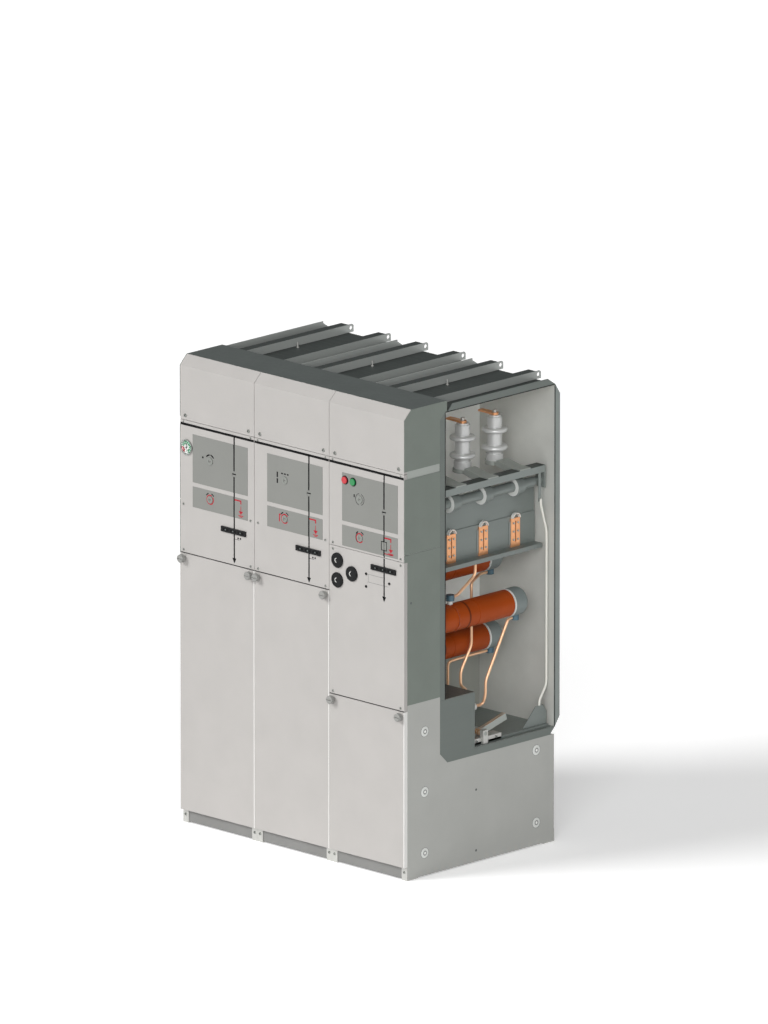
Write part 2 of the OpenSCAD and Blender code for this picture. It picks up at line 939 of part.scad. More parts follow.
module switch_web() {
    x0 = tank_x + web_dx;
    x1 = x0 + wall_t + web_lip[0];
    color("#6F7672")
    slab_y(tank_front + wall_t, rail_end) polygon([
        [x0, web_z[0] - wall_t],
        [x1 - wall_t, web_z[0] - wall_t],
        [x1 - wall_t, web_z[0] - web_lip[1]],
        [x1, web_z[0] - web_lip[1]],
        [x1, web_z[0]],
        [x0 + wall_t + board_t, web_z[0]],
        [x0 + wall_t + board_t, web_z[0] + board_h],
        [x0 + wall_t, web_z[0] + board_h],
        [x0 + wall_t, web_z[1]],
        [x0, web_z[1]]
    ]);
}

// Bracket that carries a busbar bushing: a round pad, and an arm that slopes down onto the rail
pad_r = 40;
arm_clear = 3;
arm_flat = 10;
arm_rise = [8, 6];

module pole_blocks() {
    arm_x = tank_x + bushing_neck_r[0] + arm_clear;
    color("#7C827F")
    for (y = phases)
        union() {
            translate([tank_x, y, pole_top - pole_t]) cylinder(r = pad_r, h = pole_t);
            slab_y(y - pole_w / 2, y + pole_w / 2) polygon([
                [tank_x, pole_top - pole_t],
                [tank_x, pole_top],
                [arm_x, pole_top],
                [arm_x, pole_top + arm_rise[0]],
                [arm_x + arm_flat, pole_top + arm_rise[0]],
                [tank_x + rail_dx[0], rail_z[1] + arm_rise[1]],
                [tank_x + rail_dx[1], rail_z[1] + arm_rise[1]],
                [tank_x + rail_dx[1], rail_z[1]],
                [tank_x + rail_dx[0], rail_z[1]],
                [tank_x + rail_dx[0], rail_z[0]],
                [arm_x, pole_top - pole_t]
            ]);
        }
}

// Busbar bushing with two rounded sheds
bushing_h = 186;
bushing_neck_r = [35, 30, 26];
bushing_foot_h = 28;
bushing_crown_h = 8;
shed_r = 52;
shed_round = 10;
shed_z = [52, 125];

module busbar_bushings() {
    color("#C8C6C6")
    for (y = phases)
        translate([tank_x, y, pole_top])
            rotate_extrude() {
                square([bushing_neck_r[0], bushing_foot_h]);
                square([bushing_neck_r[1], bushing_h - bushing_crown_h]);
                square([bushing_neck_r[2], bushing_h]);
                for (z = shed_z) {
                    translate([0, z - shed_round]) square([shed_r - shed_round, 2 * shed_round]);
                    translate([shed_r - shed_round, z]) circle(r = shed_round);
                }
            }
}

lug_l = 80;
lug_w = 26;
lug_t = 8;
lug_bolt_r = 9;
lug_bolt_h = 12;
lug_eye_r = 16;

module busbar_lugs() {
    color(copper)
    for (y = phases)
        translate([tank_x, y, pole_top + bushing_h])
            union() {
                cylinder(r = lug_eye_r, h = lug_t);
                translate([-lug_l, -lug_w / 2, 0]) cube([lug_l, lug_w, lug_t]);
                cylinder(r = lug_bolt_r, h = lug_t + lug_bolt_h, $fn = 6);
            }
}

hook_r = 22;
hook_t = 5;
hook_w = 14;
slot_half = 3;
slot_ends = [20, 12];

module fixed_contacts() {
    x0 = tank_x + web_dx + wall_t + board_t;
    color(copper)
    for (y = phases)
        union() {
            difference() {
                block(
                    [x0, y - contact_w / 2, contact_z[0]],
                    [x0 + contact_t, y + contact_w / 2, contact_z[1]]
                );
                block(
                    [x0 - 1, y - slot_half, contact_z[0] + slot_ends[0]],
                    [x0 + contact_t + 1, y + slot_half, contact_z[1] - slot_ends[1]]
                );
            }
            slab_x(x0, x0 + hook_w)
                translate([y, contact_z[1]])
                    difference() {
                        circle(r = hook_r);
                        circle(r = hook_r - hook_t);
                        translate([-2 * hook_r, -2 * hook_r]) square([4 * hook_r, 2 * hook_r]);
                    }
        }
}

// Shaft with a hub and a collar at each phase
collar_y = -42;
collar_w = 16;
hub_ring = [34, 40];
journal_out = [8, 4];
shaft_in = [6, 48];

module switch_shaft() {
    x = tank_x + shaft_dx;
    color("#8A8F8C")
    union() {
        bar_y(x, shaft_z, journal_r, drive_rear - journal_out[0], rail_end + journal_out[1]);
        bar_y(x, shaft_z, shaft_r, tank_front + wall_t + shaft_in[0], rail_end - shaft_in[1]);
        for (y = phases) {
            bar_y(x, shaft_z, collar_r, y + collar_y - collar_w / 2, y + collar_y + collar_w / 2);
            bar_y(x, shaft_z, hub_ring[0], y + collar_y, y + collar_y + hub_ring[1]);
        }
    }
}

// Fuse canisters
fuse_wall = 8;
groove_in = 233;
groove_w = 5;
groove_t = 1.5;

module fuse_tubes() {
    color("#8F3A14")
    for (k = [0:2])
        difference() {
            bar_y(tank_x + fuse_dx[k], fuse_z[k], fuse_r, fuse_front, fuse_rear);
            bar_y(tank_x + fuse_dx[k], fuse_z[k], fuse_r - fuse_wall, fuse_front - 1, fuse_rear + 1);
            difference() {
                let (y = tank_front + groove_in)
                bar_y(tank_x + fuse_dx[k], fuse_z[k], fuse_r + 1, y, y + groove_w);
                let (y = tank_front + groove_in - 1)
                bar_y(tank_x + fuse_dx[k], fuse_z[k], fuse_r - groove_t, y, y + groove_w + 2);
            }
        }
}

cap_round = 25;
cap_rim = 2;
fuse_cover_t = 14;
fuse_cover_rim = 4;

module fuse_caps() {
    color("#7C8684")
    for (k = [0:2])
        translate([tank_x + fuse_dx[k], 0, fuse_z[k]]) rotate([-90, 0, 0]) {
            translate([0, 0, fuse_rear]) rotate_extrude() {
                square([fuse_r + cap_rim, fuse_cap_l - cap_round]);
                square([fuse_r + cap_rim - cap_round, fuse_cap_l]);
                translate([fuse_r + cap_rim - cap_round, fuse_cap_l - cap_round]) circle(r = cap_round);
            }
            translate([0, 0, fuse_front - fuse_cover_t])
                cylinder(r = fuse_r + fuse_cover_rim, h = fuse_cover_t);
        }
}

// Band where a canister meets its cap, a terminal below the cap and one on a neck above the tube
band_w = 8;
band_t = 3;
cap_terminal = 45;
neck_h = 20;
neck_r = 11;
saddle = 4;

module fuse_band(x, y, z) {
    difference() {
        bar_y(x, z, fuse_r + band_t, y, y + band_w);
        bar_y(x, z, fuse_r + run_fit, y - 1, y + band_w + 1);
    }
}

module fuse_terminal(x, y, z, turn, seat, neck) {
    difference() {
        translate([x, y, z]) rotate([turn, 0, 0]) {
            translate([0, 0, seat - saddle]) cylinder(r = neck_r, h = neck + saddle);
            translate([0, 0, seat + neck - saddle]) cylinder(r = clamp_r, h = clamp_h + saddle);
        }
        bar_y(x, z, seat + run_fit, y - clamp_r - 1, y + clamp_r + 1);
    }
}

module fuse_clamps() {
    color("#4A6A78")
    for (k = [0:2]) {
        fuse_band(fuse_x(k), fuse_rear - band_w - gap, fuse_z[k]);
        fuse_terminal(fuse_x(k), fuse_rear + cap_terminal, fuse_z[k], 180, fuse_r + cap_rim, 0);
        union() {
            fuse_band(fuse_x(k), fuse_lead_y - band_w / 2, fuse_z[k]);
            fuse_terminal(fuse_x(k), fuse_lead_y, fuse_z[k], 0, fuse_r, neck_h);
        }
    }
}

// Leads between the switch, the canisters and the cable bushings
lead_run = 40;
lead_lean = 15;
lead_side = 70;
loop_run = 46;
first_rise = 15;
third_rise = 75;
back_dx = -100;
terminal_up = fuse_r + neck_h + clamp_h / 2;
terminal_down = fuse_r + cap_rim + clamp_h / 2;
rear_lead_y = fuse_rear + cap_terminal - clamp_r - run_fit;
bushing_tip = step_y + wall_t + bushing_in + run_fit;
loop_y = bushing_tip + loop_run;
function bushing_x(k) = tank_x + k * bushing_pitch;
function fuse_x(k) = tank_x + fuse_dx[k];

// Last points of a lead that loops down into a cable bushing
function loop_end(k) = [
    [bushing_x(k) + lead_lean, loop_y, bushing_z + lead_run],
    [bushing_x(k), loop_y, bushing_z],
    [bushing_x(k), bushing_tip, bushing_z]
];

module copper_leads() {
    web_rear = tank_x + web_dx - run_fit;
    lip_under = web_z[0] - wall_t - run_fit;
    upper_z = [for (z = fuse_z) z + terminal_up];
    lower_z = [for (z = fuse_z) z - terminal_down];
    rise_y = phases[1] - contact_w;
    color(copper) {
        // Middle canister to the lip under the second contact
        tube([
            [fuse_x(1), fuse_lead_y + clamp_r + run_fit, upper_z[1]],
            [fuse_x(1), fuse_lead_y + lead_run, upper_z[1]],
            [fuse_x(1), rise_y, lip_under - lead_side],
            [fuse_x(1), rise_y, lip_under]
        ], lead_r);
        // Upper canister to the first contact
        tube([
            [fuse_x(0) + clamp_r + run_fit, fuse_lead_y, upper_z[0]],
            [fuse_x(0) + lead_run, fuse_lead_y, upper_z[0]],
            [web_rear - lead_run, phases[0], contact_z[0] + first_rise],
            [web_rear, phases[0], contact_z[0] + first_rise]
        ], lead_r);
        // Lower canister to the third contact, behind the upper canister
        tube([
            [fuse_x(2) - clamp_r - run_fit, fuse_lead_y, upper_z[2]],
            [fuse_x(2) - lead_side, fuse_lead_y, upper_z[2]],
            [fuse_x(2) + back_dx, fuse_lead_y + lead_side, fuse_z[1]],
            [fuse_x(2) + back_dx, fuse_lead_y + lead_side, web_z[0] + lead_run],
            [fuse_x(2) + lead_side, phases[1] - lead_run, contact_z[0] + third_rise],
            [web_rear - lead_run, phases[2], contact_z[0] + third_rise],
            [web_rear, phases[2], contact_z[0] + third_rise]
        ], lead_r);
        // Upper canister to the middle cable bushing
        tube(concat([
            [fuse_x(0), rear_lead_y, lower_z[0]],
            [fuse_x(0), rear_lead_y - lead_run, lower_z[0]],
            [fuse_x(0) + lead_side, phases[1], lower_z[0]],
            [fuse_x(0) + lead_side, phases[1], fuse_z[2]],
            [fuse_x(0) + lead_side, loop_y - lead_side, step_z + lead_run],
            [fuse_x(0) + lead_side, loop_y - lead_side, step_z - lead_lean]
        ], loop_end(0)), lead_r);
        // Middle canister to the right-hand cable bushing
        tube(concat([
            [fuse_x(1), rear_lead_y, lower_z[1]],
            [fuse_x(1), rear_lead_y - lead_run / 2, lower_z[1]],
            [bushing_x(1) + lead_lean, loop_y, step_z]
        ], loop_end(1)), lead_r);
        // Lower canister to the left-hand cable bushing
        tube(concat([
            [fuse_x(2), rear_lead_y, lower_z[2]],
            [fuse_x(2), rear_lead_y - lead_run, lower_z[2]],
            [bushing_x(-1) + lead_lean, loop_y, step_z + lead_run]
        ], loop_end(-1)), lead_r);
    }
}

// Cable bushings in the step of each tank, with their cones in the cable space
bushing_r = 30;
bushing_flange_r = 42;
bushing_flange_t = 8;
cone_tip_r = 24;
cone_root_r = 34;
cable_pin_r = 10;
cable_pin_l = 25;
terminal_r = 14;
terminal_l = 30;
terminal_taper = 12;

module cable_bushings() {
    inside = bushing_in + wall_t;
    color("#8C4A2C")
    for (i = [0:last])
        for (k = [-1:1])
            translate([centre(i) + k * bushing_pitch, step_y + inside, bushing_z])
                rotate([90, 0, 0]) rotate_extrude() polygon([
                    [0, 0],
                    [terminal_r, 0],
                    [terminal_r, terminal_l],
                    [bushing_r, terminal_l + terminal_taper],
                    [bushing_r, inside],
                    [bushing_flange_r, inside],
                    [bushing_flange_r, inside + bushing_flange_t],
                    [cone_root_r, inside + bushing_flange_t],
                    [cone_tip_r, inside + bushing_out - cable_pin_l],
                    [cable_pin_r, inside + bushing_out - cable_pin_l],
                    [cable_pin_r, inside + bushing_out],
                    [0, inside + bushing_out]
                ]);
}

// Earthing switch on the tank floor
rail_t = 10;
bar_half = 24;
cheek = [16, 35];
cheek_y = 14;
knife_t = 4;
knife_gap = 4;
knife_half = 14;
tube_r = 5;
tube_x = tank_x + rail_dx[1] + tube_r + run_fit;
cheek_rise = 14;
plate_l = 148;
plate_y = [rail_end - plate_l, rail_end];
plate_rise = [40, 60, 90];
plate_in = [20, 60];

module earthing_base() {
    y = earth_pivot[0];
    z = earth_pivot[1];
    rail_top = floor_z + rail_t;
    color("#8F9490")
    difference() {
        union() {
            block(
                [earth_x - bar_half, step_y + wall_t, floor_z],
                [earth_x + bar_half, plate_y[1], rail_top]
            );
            for (x = [earth_x - cheek[1], earth_x + cheek[0]])
                block([x, y - cheek_y, floor_z], [x + cheek[1] - cheek[0], y + cheek_y, z + cheek_rise]);
            slab_x(tube_x - wall_t / 2, tube_x + wall_t / 2) polygon([
                [plate_y[0], floor_z],
                [plate_y[1], floor_z],
                [plate_y[1], floor_z + plate_rise[1]],
                [plate_y[1] - plate_in[0], floor_z + plate_rise[2]],
                [plate_y[1] - plate_in[1], floor_z + plate_rise[2]],
                [plate_y[0] + plate_rise[0], floor_z + plate_rise[0]]
            ]);
        }
        translate([earth_x - cheek[1] - 1, y, z]) rotate([0, 90, 0])
            cylinder(r = knife_pin_r + run_fit, h = 2 * cheek[1] + 2);
    }
}

spacer_in = 40;
spacer_end = 20;
spacer_edge = 4;

module earth_knife() {
    color(copper)
    translate([earth_x, earth_pivot[0], earth_pivot[1]]) rotate([knife_tilt, 0, 0])
    union() {
        for (x = [-knife_gap - knife_t, knife_gap])
            slab_x(x, x + knife_t)
                union() {
                    circle(r = knife_half);
                    translate([0, -knife_half]) square([knife_l, 2 * knife_half]);
                }
        rotate([0, 90, 0]) cylinder(r = knife_pin_r, h = 2 * cheek[1] - 2, center = true);
        rotate([0, 90, 0]) cylinder(r = knife_half - 2, h = 2 * (cheek[0] - gap), center = true);
        block(
            [-knife_gap, spacer_in, spacer_edge - knife_half],
            [knife_gap, knife_l - spacer_end, knife_half - spacer_edge]
        );
    }
}

tube_out = 40;
tube_knee = [55, 168];
tube_top = hanger_up + 12;

module sensing_tube() {
    foot_z = floor_z + plate_rise[2];
    top_y = rail_end - hanger_in - hanger_w / 2;
    color("#D8D8D0")
    tube([
        [tube_x, plate_y[1] - tube_out, foot_z + run_fit],
        [tube_x, plate_y[1] - tube_out, foot_z + tube_out / 2],
        [tube_x, plate_y[1], foot_z + 2 * tube_out],
        [tube_x, plate_y[1], web_z[0] + tube_knee[0]],
        [tube_x, top_y, web_z[0] + tube_knee[1]],
        [tube_x, top_y, web_z[0] + tube_top]
    ], tube_r, sides = 8);
}

place() foot_brackets();
place() kick_plates();
place() base_walls();
place() base_rear_panels();
place() side_plugs();
place() sealed_tanks();
place() open_tank();
place() tank_walls();
place() tank_end_flange();
place() lifting_channels();
place() hood();
place() front_uprights();
place() side_covers();
place() top_covers();
place() mimic_panel(0);  // mimic_panel_1
place() mimic_panel(1);  // mimic_panel_2
place() mimic_panel(2);  // mimic_panel_3
place() fuse_panel();
place() mimic_plates();
place() voltage_indicators();
place() phase_plugs();
place() gauge_case();
place() gauge_glass();
place() gauge_needle();
place() switch_rail();
place() switch_web();
place() pole_blocks();
place() busbar_bushings();
place() busbar_lugs();
place() fixed_contacts();
place() switch_shaft();
place() fuse_tubes();
place() fuse_caps();
place() fuse_clamps();
place() copper_leads();
place() cable_bushings();
place() earthing_base();
place() earth_knife();
place() sensing_tube();
place() drive_units();
place() cable_cover(0);  // cable_cover_1
place() cable_cover(1);  // cable_cover_2
place() cable_cover(2);  // cable_cover_3
place() cover_knob(0);  // cover_knob_1
place() cover_knob(1);  // cover_knob_2
place() cover_knob(2);  // cover_knob_3
place() cover_knob(3);  // cover_knob_4
place() cover_knob(4);  // cover_knob_5
place() cover_knob(5);  // cover_knob_6
place() load_hub(0);  // load_hub_1
place() load_hub(1);  // load_hub_2
place() load_hub(2);  // load_hub_3
place() earth_hub(0);  // earth_hub_1
place() earth_hub(1);  // earth_hub_2
place() earth_hub(2);  // earth_hub_3
place() indicator(0);  // indicator_1
place() indicator(1);  // indicator_2
place() indicator(2);  // indicator_3
place() trip_button();
place() close_button();
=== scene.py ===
import json
import math

import bmesh
import bpy
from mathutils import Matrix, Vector


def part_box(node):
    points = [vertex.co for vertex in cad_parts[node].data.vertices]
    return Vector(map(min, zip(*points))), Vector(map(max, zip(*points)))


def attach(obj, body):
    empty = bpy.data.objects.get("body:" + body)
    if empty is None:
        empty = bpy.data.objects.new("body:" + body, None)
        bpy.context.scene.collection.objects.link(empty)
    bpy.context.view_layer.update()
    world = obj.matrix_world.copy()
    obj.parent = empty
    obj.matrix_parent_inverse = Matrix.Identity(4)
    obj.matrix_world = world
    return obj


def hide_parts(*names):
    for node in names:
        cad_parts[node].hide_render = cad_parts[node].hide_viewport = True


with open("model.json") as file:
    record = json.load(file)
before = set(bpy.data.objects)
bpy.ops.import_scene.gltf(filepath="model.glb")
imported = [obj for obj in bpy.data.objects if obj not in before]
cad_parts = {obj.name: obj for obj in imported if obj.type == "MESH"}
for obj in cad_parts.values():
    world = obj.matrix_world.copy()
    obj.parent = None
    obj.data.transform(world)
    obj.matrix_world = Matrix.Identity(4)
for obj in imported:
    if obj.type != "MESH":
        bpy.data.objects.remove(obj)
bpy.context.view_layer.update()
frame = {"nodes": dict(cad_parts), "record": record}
nodes = frame["nodes"]
record = frame["record"]
bodyOf = {node: body for body, members in record["behaviour"]["bodies"].items() for node in members}
jointOf = {joint["name"]: joint for joint in record["behaviour"]["joints"]}
scene = bpy.context.scene
print("frame loaded:", len(nodes), "nodes")


def middle(low, high):  # centre of a box
    return [(low[k] + high[k]) / 2 for k in range(3)]


# places that the details hang on, read from the frame
modules = (1, 2, 3)
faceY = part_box("cable_cover_2")[0].y  # front face of the covers
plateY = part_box("mimic_plates")[0].y  # front face of the mimic plates
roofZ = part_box("open_tank")[1].z
centres = [middle(*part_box(f"cable_cover_{i}"))[0] for i in modules]


def hexTint(text):  # a screen colour as linear light
    def straight(c):
        return c / 12.92 if c <= 0.04045 else ((c + 0.055) / 1.055) ** 2.4
    return [straight(int(text[i:i + 2], 16) / 255) for i in (1, 3, 5)]


def shade(rgb, factor):
    return [min(1, c * factor) for c in rgb] + [1]


# finishes: tint and its spread, roughness and its spread, grain size in metres, bump height in metres
finishes = {
    "frontPaint": dict(tint="#A6A3A0", spread=0.025, rough=0.46, roughSpread=0.06, grain=0.0016, bump=0.00003),
    "sidePaint": dict(tint="#6F7770", spread=0.04, rough=0.5, roughSpread=0.07, grain=0.0016, bump=0.00003),
    "hoodPaint": dict(tint="#545A58", spread=0.05, rough=0.55, roughSpread=0.08, grain=0.0016, bump=0.00003),
    "basePaint": dict(tint="#A6A7A3", spread=0.03, rough=0.5, roughSpread=0.06, grain=0.0016, bump=0.00003),
    "stripZinc": dict(tint="#9BA09B", spread=0.06, rough=0.42, roughSpread=0.12, grain=0.012, bump=0.00001,
                      metal=0.2),
    "footZinc": dict(tint="#B7B7B3", spread=0.05, rough=0.35, roughSpread=0.12, grain=0.006, bump=0.00001,
                     metal=0.5),
    "kickPaint": dict(tint="#757573", spread=0.04, rough=0.5, roughSpread=0.06, grain=0.0016, bump=0.00003),
    "tankSteel": dict(tint="#CFD0CB", spread=0.05, rough=0.48, roughSpread=0.1, grain=0.0008, bump=0.00001,
                      metal=0.25, brush=(1, 60, 1)),
    # painted light: the wall behind the open tank is made paler than the tank steel
    "paintedLightWall": dict(tint="#F5F6F2", spread=0.03, rough=0.5, roughSpread=0.08, grain=0.0008, bump=0.00001,
                     metal=0.1, brush=(1, 1, 60)),
    # painted shade for the faces of the tank that look up
    "paintedShadeUp": dict(tint="#565E5C", spread=0.06, rough=0.5, roughSpread=0.1, grain=0.0008, bump=0.00001,
                      metal=0.25, brush=(60, 1, 60)),
    "flangeSteel": dict(tint="#6A716D", spread=0.05, rough=0.45, roughSpread=0.1, grain=0.0008, bump=0.00001,
                        metal=0.3, brush=(60, 60, 1)),
    "plateGrey": dict(tint="#797A76", spread=0.02, rough=0.55, roughSpread=0.04, grain=0.0009, bump=0.00001),
    "blackMould": dict(tint="#0E0F10", spread=0.2, rough=0.42, roughSpread=0.08, grain=0.0012, bump=0.00003,
                       gloss=0.2),
    "inkBlack": dict(tint="#070708", spread=0.1, rough=0.5, roughSpread=0.05, grain=0.002, bump=0.000005,
                     gloss=0.12),
    "inkRed": dict(tint="#A3202E", spread=0.05, rough=0.5, roughSpread=0.05, grain=0.002, bump=0.000005,
                   gloss=0.2),
    # painted highlight on the grips of the capped sockets
    "paintedHighlightWhite": dict(tint="#D5D5D2", spread=0.02, rough=0.5, roughSpread=0.05, grain=0.002, bump=0.000005),
    "inkGreen": dict(tint="#1F8154", spread=0.05, rough=0.5, roughSpread=0.05, grain=0.002, bump=0.000005,
                     gloss=0.2),
    "dialFace": dict(tint="#C9CBC6", spread=0.02, rough=0.45, roughSpread=0.03, grain=0.002, bump=0.000005),
    "rimMetal": dict(tint="#9DA19D", spread=0.04, rough=0.25, roughSpread=0.06, grain=0.001, bump=0.000005,
                     metal=0.9),
    "screwSteel": dict(tint="#8E918C", spread=0.08, rough=0.32, roughSpread=0.12, grain=0.0012, bump=0.000008,
                       metal=0.8),
    "switchSteel": dict(tint="#7B827F", spread=0.06, rough=0.45, roughSpread=0.1, grain=0.0009, bump=0.00001,
                        metal=0.35, brush=(1, 40, 1)),
    "collarPale": dict(tint="#D0D2CF", spread=0.04, rough=0.42, roughSpread=0.08, grain=0.002, bump=0.00001),
    "resinGrey": dict(tint="#CBCCCB", spread=0.03, rough=0.32, roughSpread=0.03, grain=0.003, bump=0.00001,
                      metal=0.28, coat=0.3),
    "railSteel": dict(tint="#858C89", spread=0.06, rough=0.45, roughSpread=0.1, grain=0.0009, bump=0.00001,
                      metal=0.35, brush=(1, 40, 1)),
    # painted light: a lighter tint for the channel sides, the wall rims above the roof and their cap strips
    "paintedLightSteel": dict(tint="#A8ACA9", spread=0.07, rough=0.42, roughSpread=0.12, grain=0.0012, bump=0.00002,
                     metal=0.2, brush=(1, 60, 1)),
    # painted shade for the tops of the roof, the lifting channels and the rail
    "paintedShadeTop": dict(tint="#3C4240", spread=0.08, rough=0.5, roughSpread=0.1, grain=0.0008, bump=0.00001,
                     metal=0.25, brush=(60, 1, 60)),
    "leadCopper": dict(tint="#F4C49C", spread=0.08, rough=0.34, roughSpread=0.1, grain=0.004, bump=0.00001,
                       metal=0.55),
    "bladeBronze": dict(tint="#C79C74", spread=0.1, rough=0.36, roughSpread=0.12, grain=0.003, bump=0.00001,
                        metal=0.6),
    "bareCopper": dict(tint="#F0AE7E", spread=0.12, rough=0.36, roughSpread=0.14, grain=0.004, bump=0.00001,
                       metal=0.7),
    "fuseResin": dict(tint="#9A400C", spread=0.1, rough=0.45, roughSpread=0.08, grain=0.006, bump=0.00003,
                      gloss=0.2),
    "fuseDark": dict(tint="#5E2608", spread=0.1, rough=0.5, roughSpread=0.08, grain=0.006, bump=0.00003,
                     gloss=0.2),
    "wallGrey": dict(tint="#9C9E97", spread=0.03, rough=0.5, roughSpread=0.08, grain=0.0008, bump=0.00001,
                     metal=0.1, brush=(1, 1, 60)),
    "capGrey": dict(tint="#737C7B", spread=0.04, rough=0.45, roughSpread=0.08, grain=0.002, bump=0.00003),
    "clampBlue": dict(tint="#4A6673", spread=0.08, rough=0.4, roughSpread=0.1, grain=0.002, bump=0.00002,
                      metal=0.3),
    "bushingBrown": dict(tint="#7A3A20", spread=0.1, rough=0.35, roughSpread=0.08, grain=0.004, bump=0.00002,
                         coat=0.3),
    "driveSteel": dict(tint="#A0A5A0", spread=0.06, rough=0.42, roughSpread=0.12, grain=0.005, bump=0.00001,
                       metal=0.4),
    "knobGrey": dict(tint="#868683", spread=0.04, rough=0.45, roughSpread=0.08, grain=0.0012, bump=0.00004),
    "hubSteel": dict(tint="#80837E", spread=0.08, rough=0.45, roughSpread=0.1, grain=0.002, bump=0.00001,
                     metal=0.2),
    "buttonRed": dict(tint="#B3222C", spread=0.04, rough=0.3, roughSpread=0.05, grain=0.002, bump=0.00001,
                      coat=0.4),
    "buttonGreen": dict(tint="#0E7A3F", spread=0.04, rough=0.3, roughSpread=0.05, grain=0.002, bump=0.00001,
                        coat=0.4),
    # painted highlight along the fold of each cable cover
    "paintedHighlightEdge": dict(tint="#D6D5D2", spread=0.02, rough=0.42, roughSpread=0.06, grain=0.0016, bump=0.00002),
    "plugWhite": dict(tint="#E6E6E3", spread=0.02, rough=0.4, roughSpread=0.06, grain=0.002, bump=0.00001),
    "tubePale": dict(tint="#DCDCD4", spread=0.03, rough=0.4, roughSpread=0.06, grain=0.003, bump=0.00001),
}

# layers of every finish: sizes are multiples of its grain, and driftLeast is in metres
layers = dict(driftSize=30, driftLeast=0.12, driftDetail=4, driftFrom=0.3, driftTo=0.7, sheenSize=12,
              sheenDetail=3, fineDetail=2, relief=0.6)


def makeFinish(name, tint, spread, rough, roughSpread, grain, bump, metal=0.0, coat=0.0, gloss=0.5, brush=None):
    mat = bpy.data.materials.new(name)
    mat.use_nodes = True
    tree = mat.node_tree
    shader = tree.nodes["Principled BSDF"]
    shader.inputs["Metallic"].default_value = metal
    shader.inputs["Coat Weight"].default_value = coat
    shader.inputs["Specular IOR Level"].default_value = gloss
    place = tree.nodes.new("ShaderNodeTexCoord")
    stretch = tree.nodes.new("ShaderNodeMapping")
    if brush:  # how much longer the grain is along each axis
        stretch.inputs["Scale"].default_value = [1 / b for b in brush]
    tree.links.new(place.outputs["Object"], stretch.inputs["Vector"])

    def noise(size, detail):
        node = tree.nodes.new("ShaderNodeTexNoise")
        node.inputs["Scale"].default_value = 1 / size
        node.inputs["Detail"].default_value = detail
        tree.links.new(stretch.outputs["Vector"], node.inputs["Vector"])
        return node.outputs["Fac"]

    base = hexTint(tint)
    drift = tree.nodes.new("ShaderNodeValToRGB")  # slow drift of the colour
    drift.color_ramp.elements[0].position = layers["driftFrom"]
    drift.color_ramp.elements[1].position = layers["driftTo"]
    drift.color_ramp.elements[0].color = shade(base, 1 - spread)
    drift.color_ramp.elements[1].color = shade(base, 1 + spread)
    driftSize = max(layers["driftLeast"], layers["driftSize"] * grain)
    tree.links.new(noise(driftSize, layers["driftDetail"]), drift.inputs["Fac"])
    tree.links.new(drift.outputs["Color"], shader.inputs["Base Color"])
    fine = noise(grain, layers["fineDetail"])
    sheen = tree.nodes.new("ShaderNodeMapRange")
    sheen.inputs["To Min"].default_value = rough - roughSpread
    sheen.inputs["To Max"].default_value = rough + roughSpread
    tree.links.new(noise(layers["sheenSize"] * grain, layers["sheenDetail"]), sheen.inputs["Value"])
    tree.links.new(sheen.outputs["Result"], shader.inputs["Roughness"])
    relief = tree.nodes.new("ShaderNodeBump")
    relief.inputs["Strength"].default_value = layers["relief"]
    relief.inputs["Distance"].default_value = bump
    tree.links.new(fine, relief.inputs["Height"])
    tree.links.new(relief.outputs["Normal"], shader.inputs["Normal"])
    return mat


mats = {name: makeFinish(name, **recipe) for name, recipe in finishes.items()}
glass = dict(tint=(0.95, 0.98, 0.98, 1), rough=0.04, clear=0.95, alpha=0.3)


def makeGlass(name):
    mat = bpy.data.materials.new(name)
    mat.use_nodes = True
    shader = mat.node_tree.nodes["Principled BSDF"]
    shader.inputs["Base Color"].default_value = glass["tint"]
    shader.inputs["Roughness"].default_value = glass["rough"]
    shader.inputs["Transmission Weight"].default_value = glass["clear"]
    shader.inputs["Alpha"].default_value = glass["alpha"]
    return mat


mats["gaugeClear"] = makeGlass("gaugeClear")
print("finishes made:", len(mats))

# meshes: creases sharper than crease are rounded, in edgeSteps; points closer than weld are one
meshing = dict(crease=math.radians(35), edgeSteps=2, weld=0.000002, flatAngle=0.01, softEdge=0.0006)


def settle(piece, body):
    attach(piece, body)
    return piece


def makePiece(name, form, matNames, body="frame", edge=0.0):
    limit = meshing["crease"]
    form.normal_update()
    if edge:
        creases = [e for e in form.edges if e.is_manifold and e.calc_face_angle(0) > limit]
        bmesh.ops.bevel(form, geom=creases, offset=edge, offset_type="OFFSET", segments=meshing["edgeSteps"],
                        profile=0.5, affect="EDGES", clamp_overlap=True)
        form.normal_update()
    for face in form.faces:
        face.smooth = True
    for e in form.edges:
        e.smooth = not (e.is_manifold and e.calc_face_angle(0) > limit)
    mesh = bpy.data.meshes.new(name)
    form.to_mesh(mesh)
    form.free()
    for matName in matNames:
        mesh.materials.append(mats[matName])
    piece = bpy.data.objects.new(name, mesh)
    scene.collection.objects.link(piece)
    if edge:
        weigh = piece.modifiers.new("edgeShade", "WEIGHTED_NORMAL")
        weigh.keep_sharp = True
    return settle(piece, body)


def nodeForm(node):  # a welded copy of a CAD node's mesh
    form = bmesh.new()
    form.from_mesh(nodes[node].data)
    bmesh.ops.remove_doubles(form, verts=form.verts, dist=meshing["weld"])
    return form


def solidsOf(node):  # lowest and highest corner of each separate solid of a node
    form = nodeForm(node)
    left, found = set(form.verts), []
    while left:
        reached, fringe = set(), [left.pop()]
        while fringe:
            v = fringe.pop()
            reached.add(v)
            near = {e.other_vert(v) for e in v.link_edges} & left
            left -= near
            fringe.extend(near)
        found.append(tuple(Vector([pick(v.co[k] for v in reached) for k in range(3)]) for pick in (min, max)))
    form.free()
    return sorted(found, key=lambda ends: (*ends[0], *ends[1]))  # the same order in each run


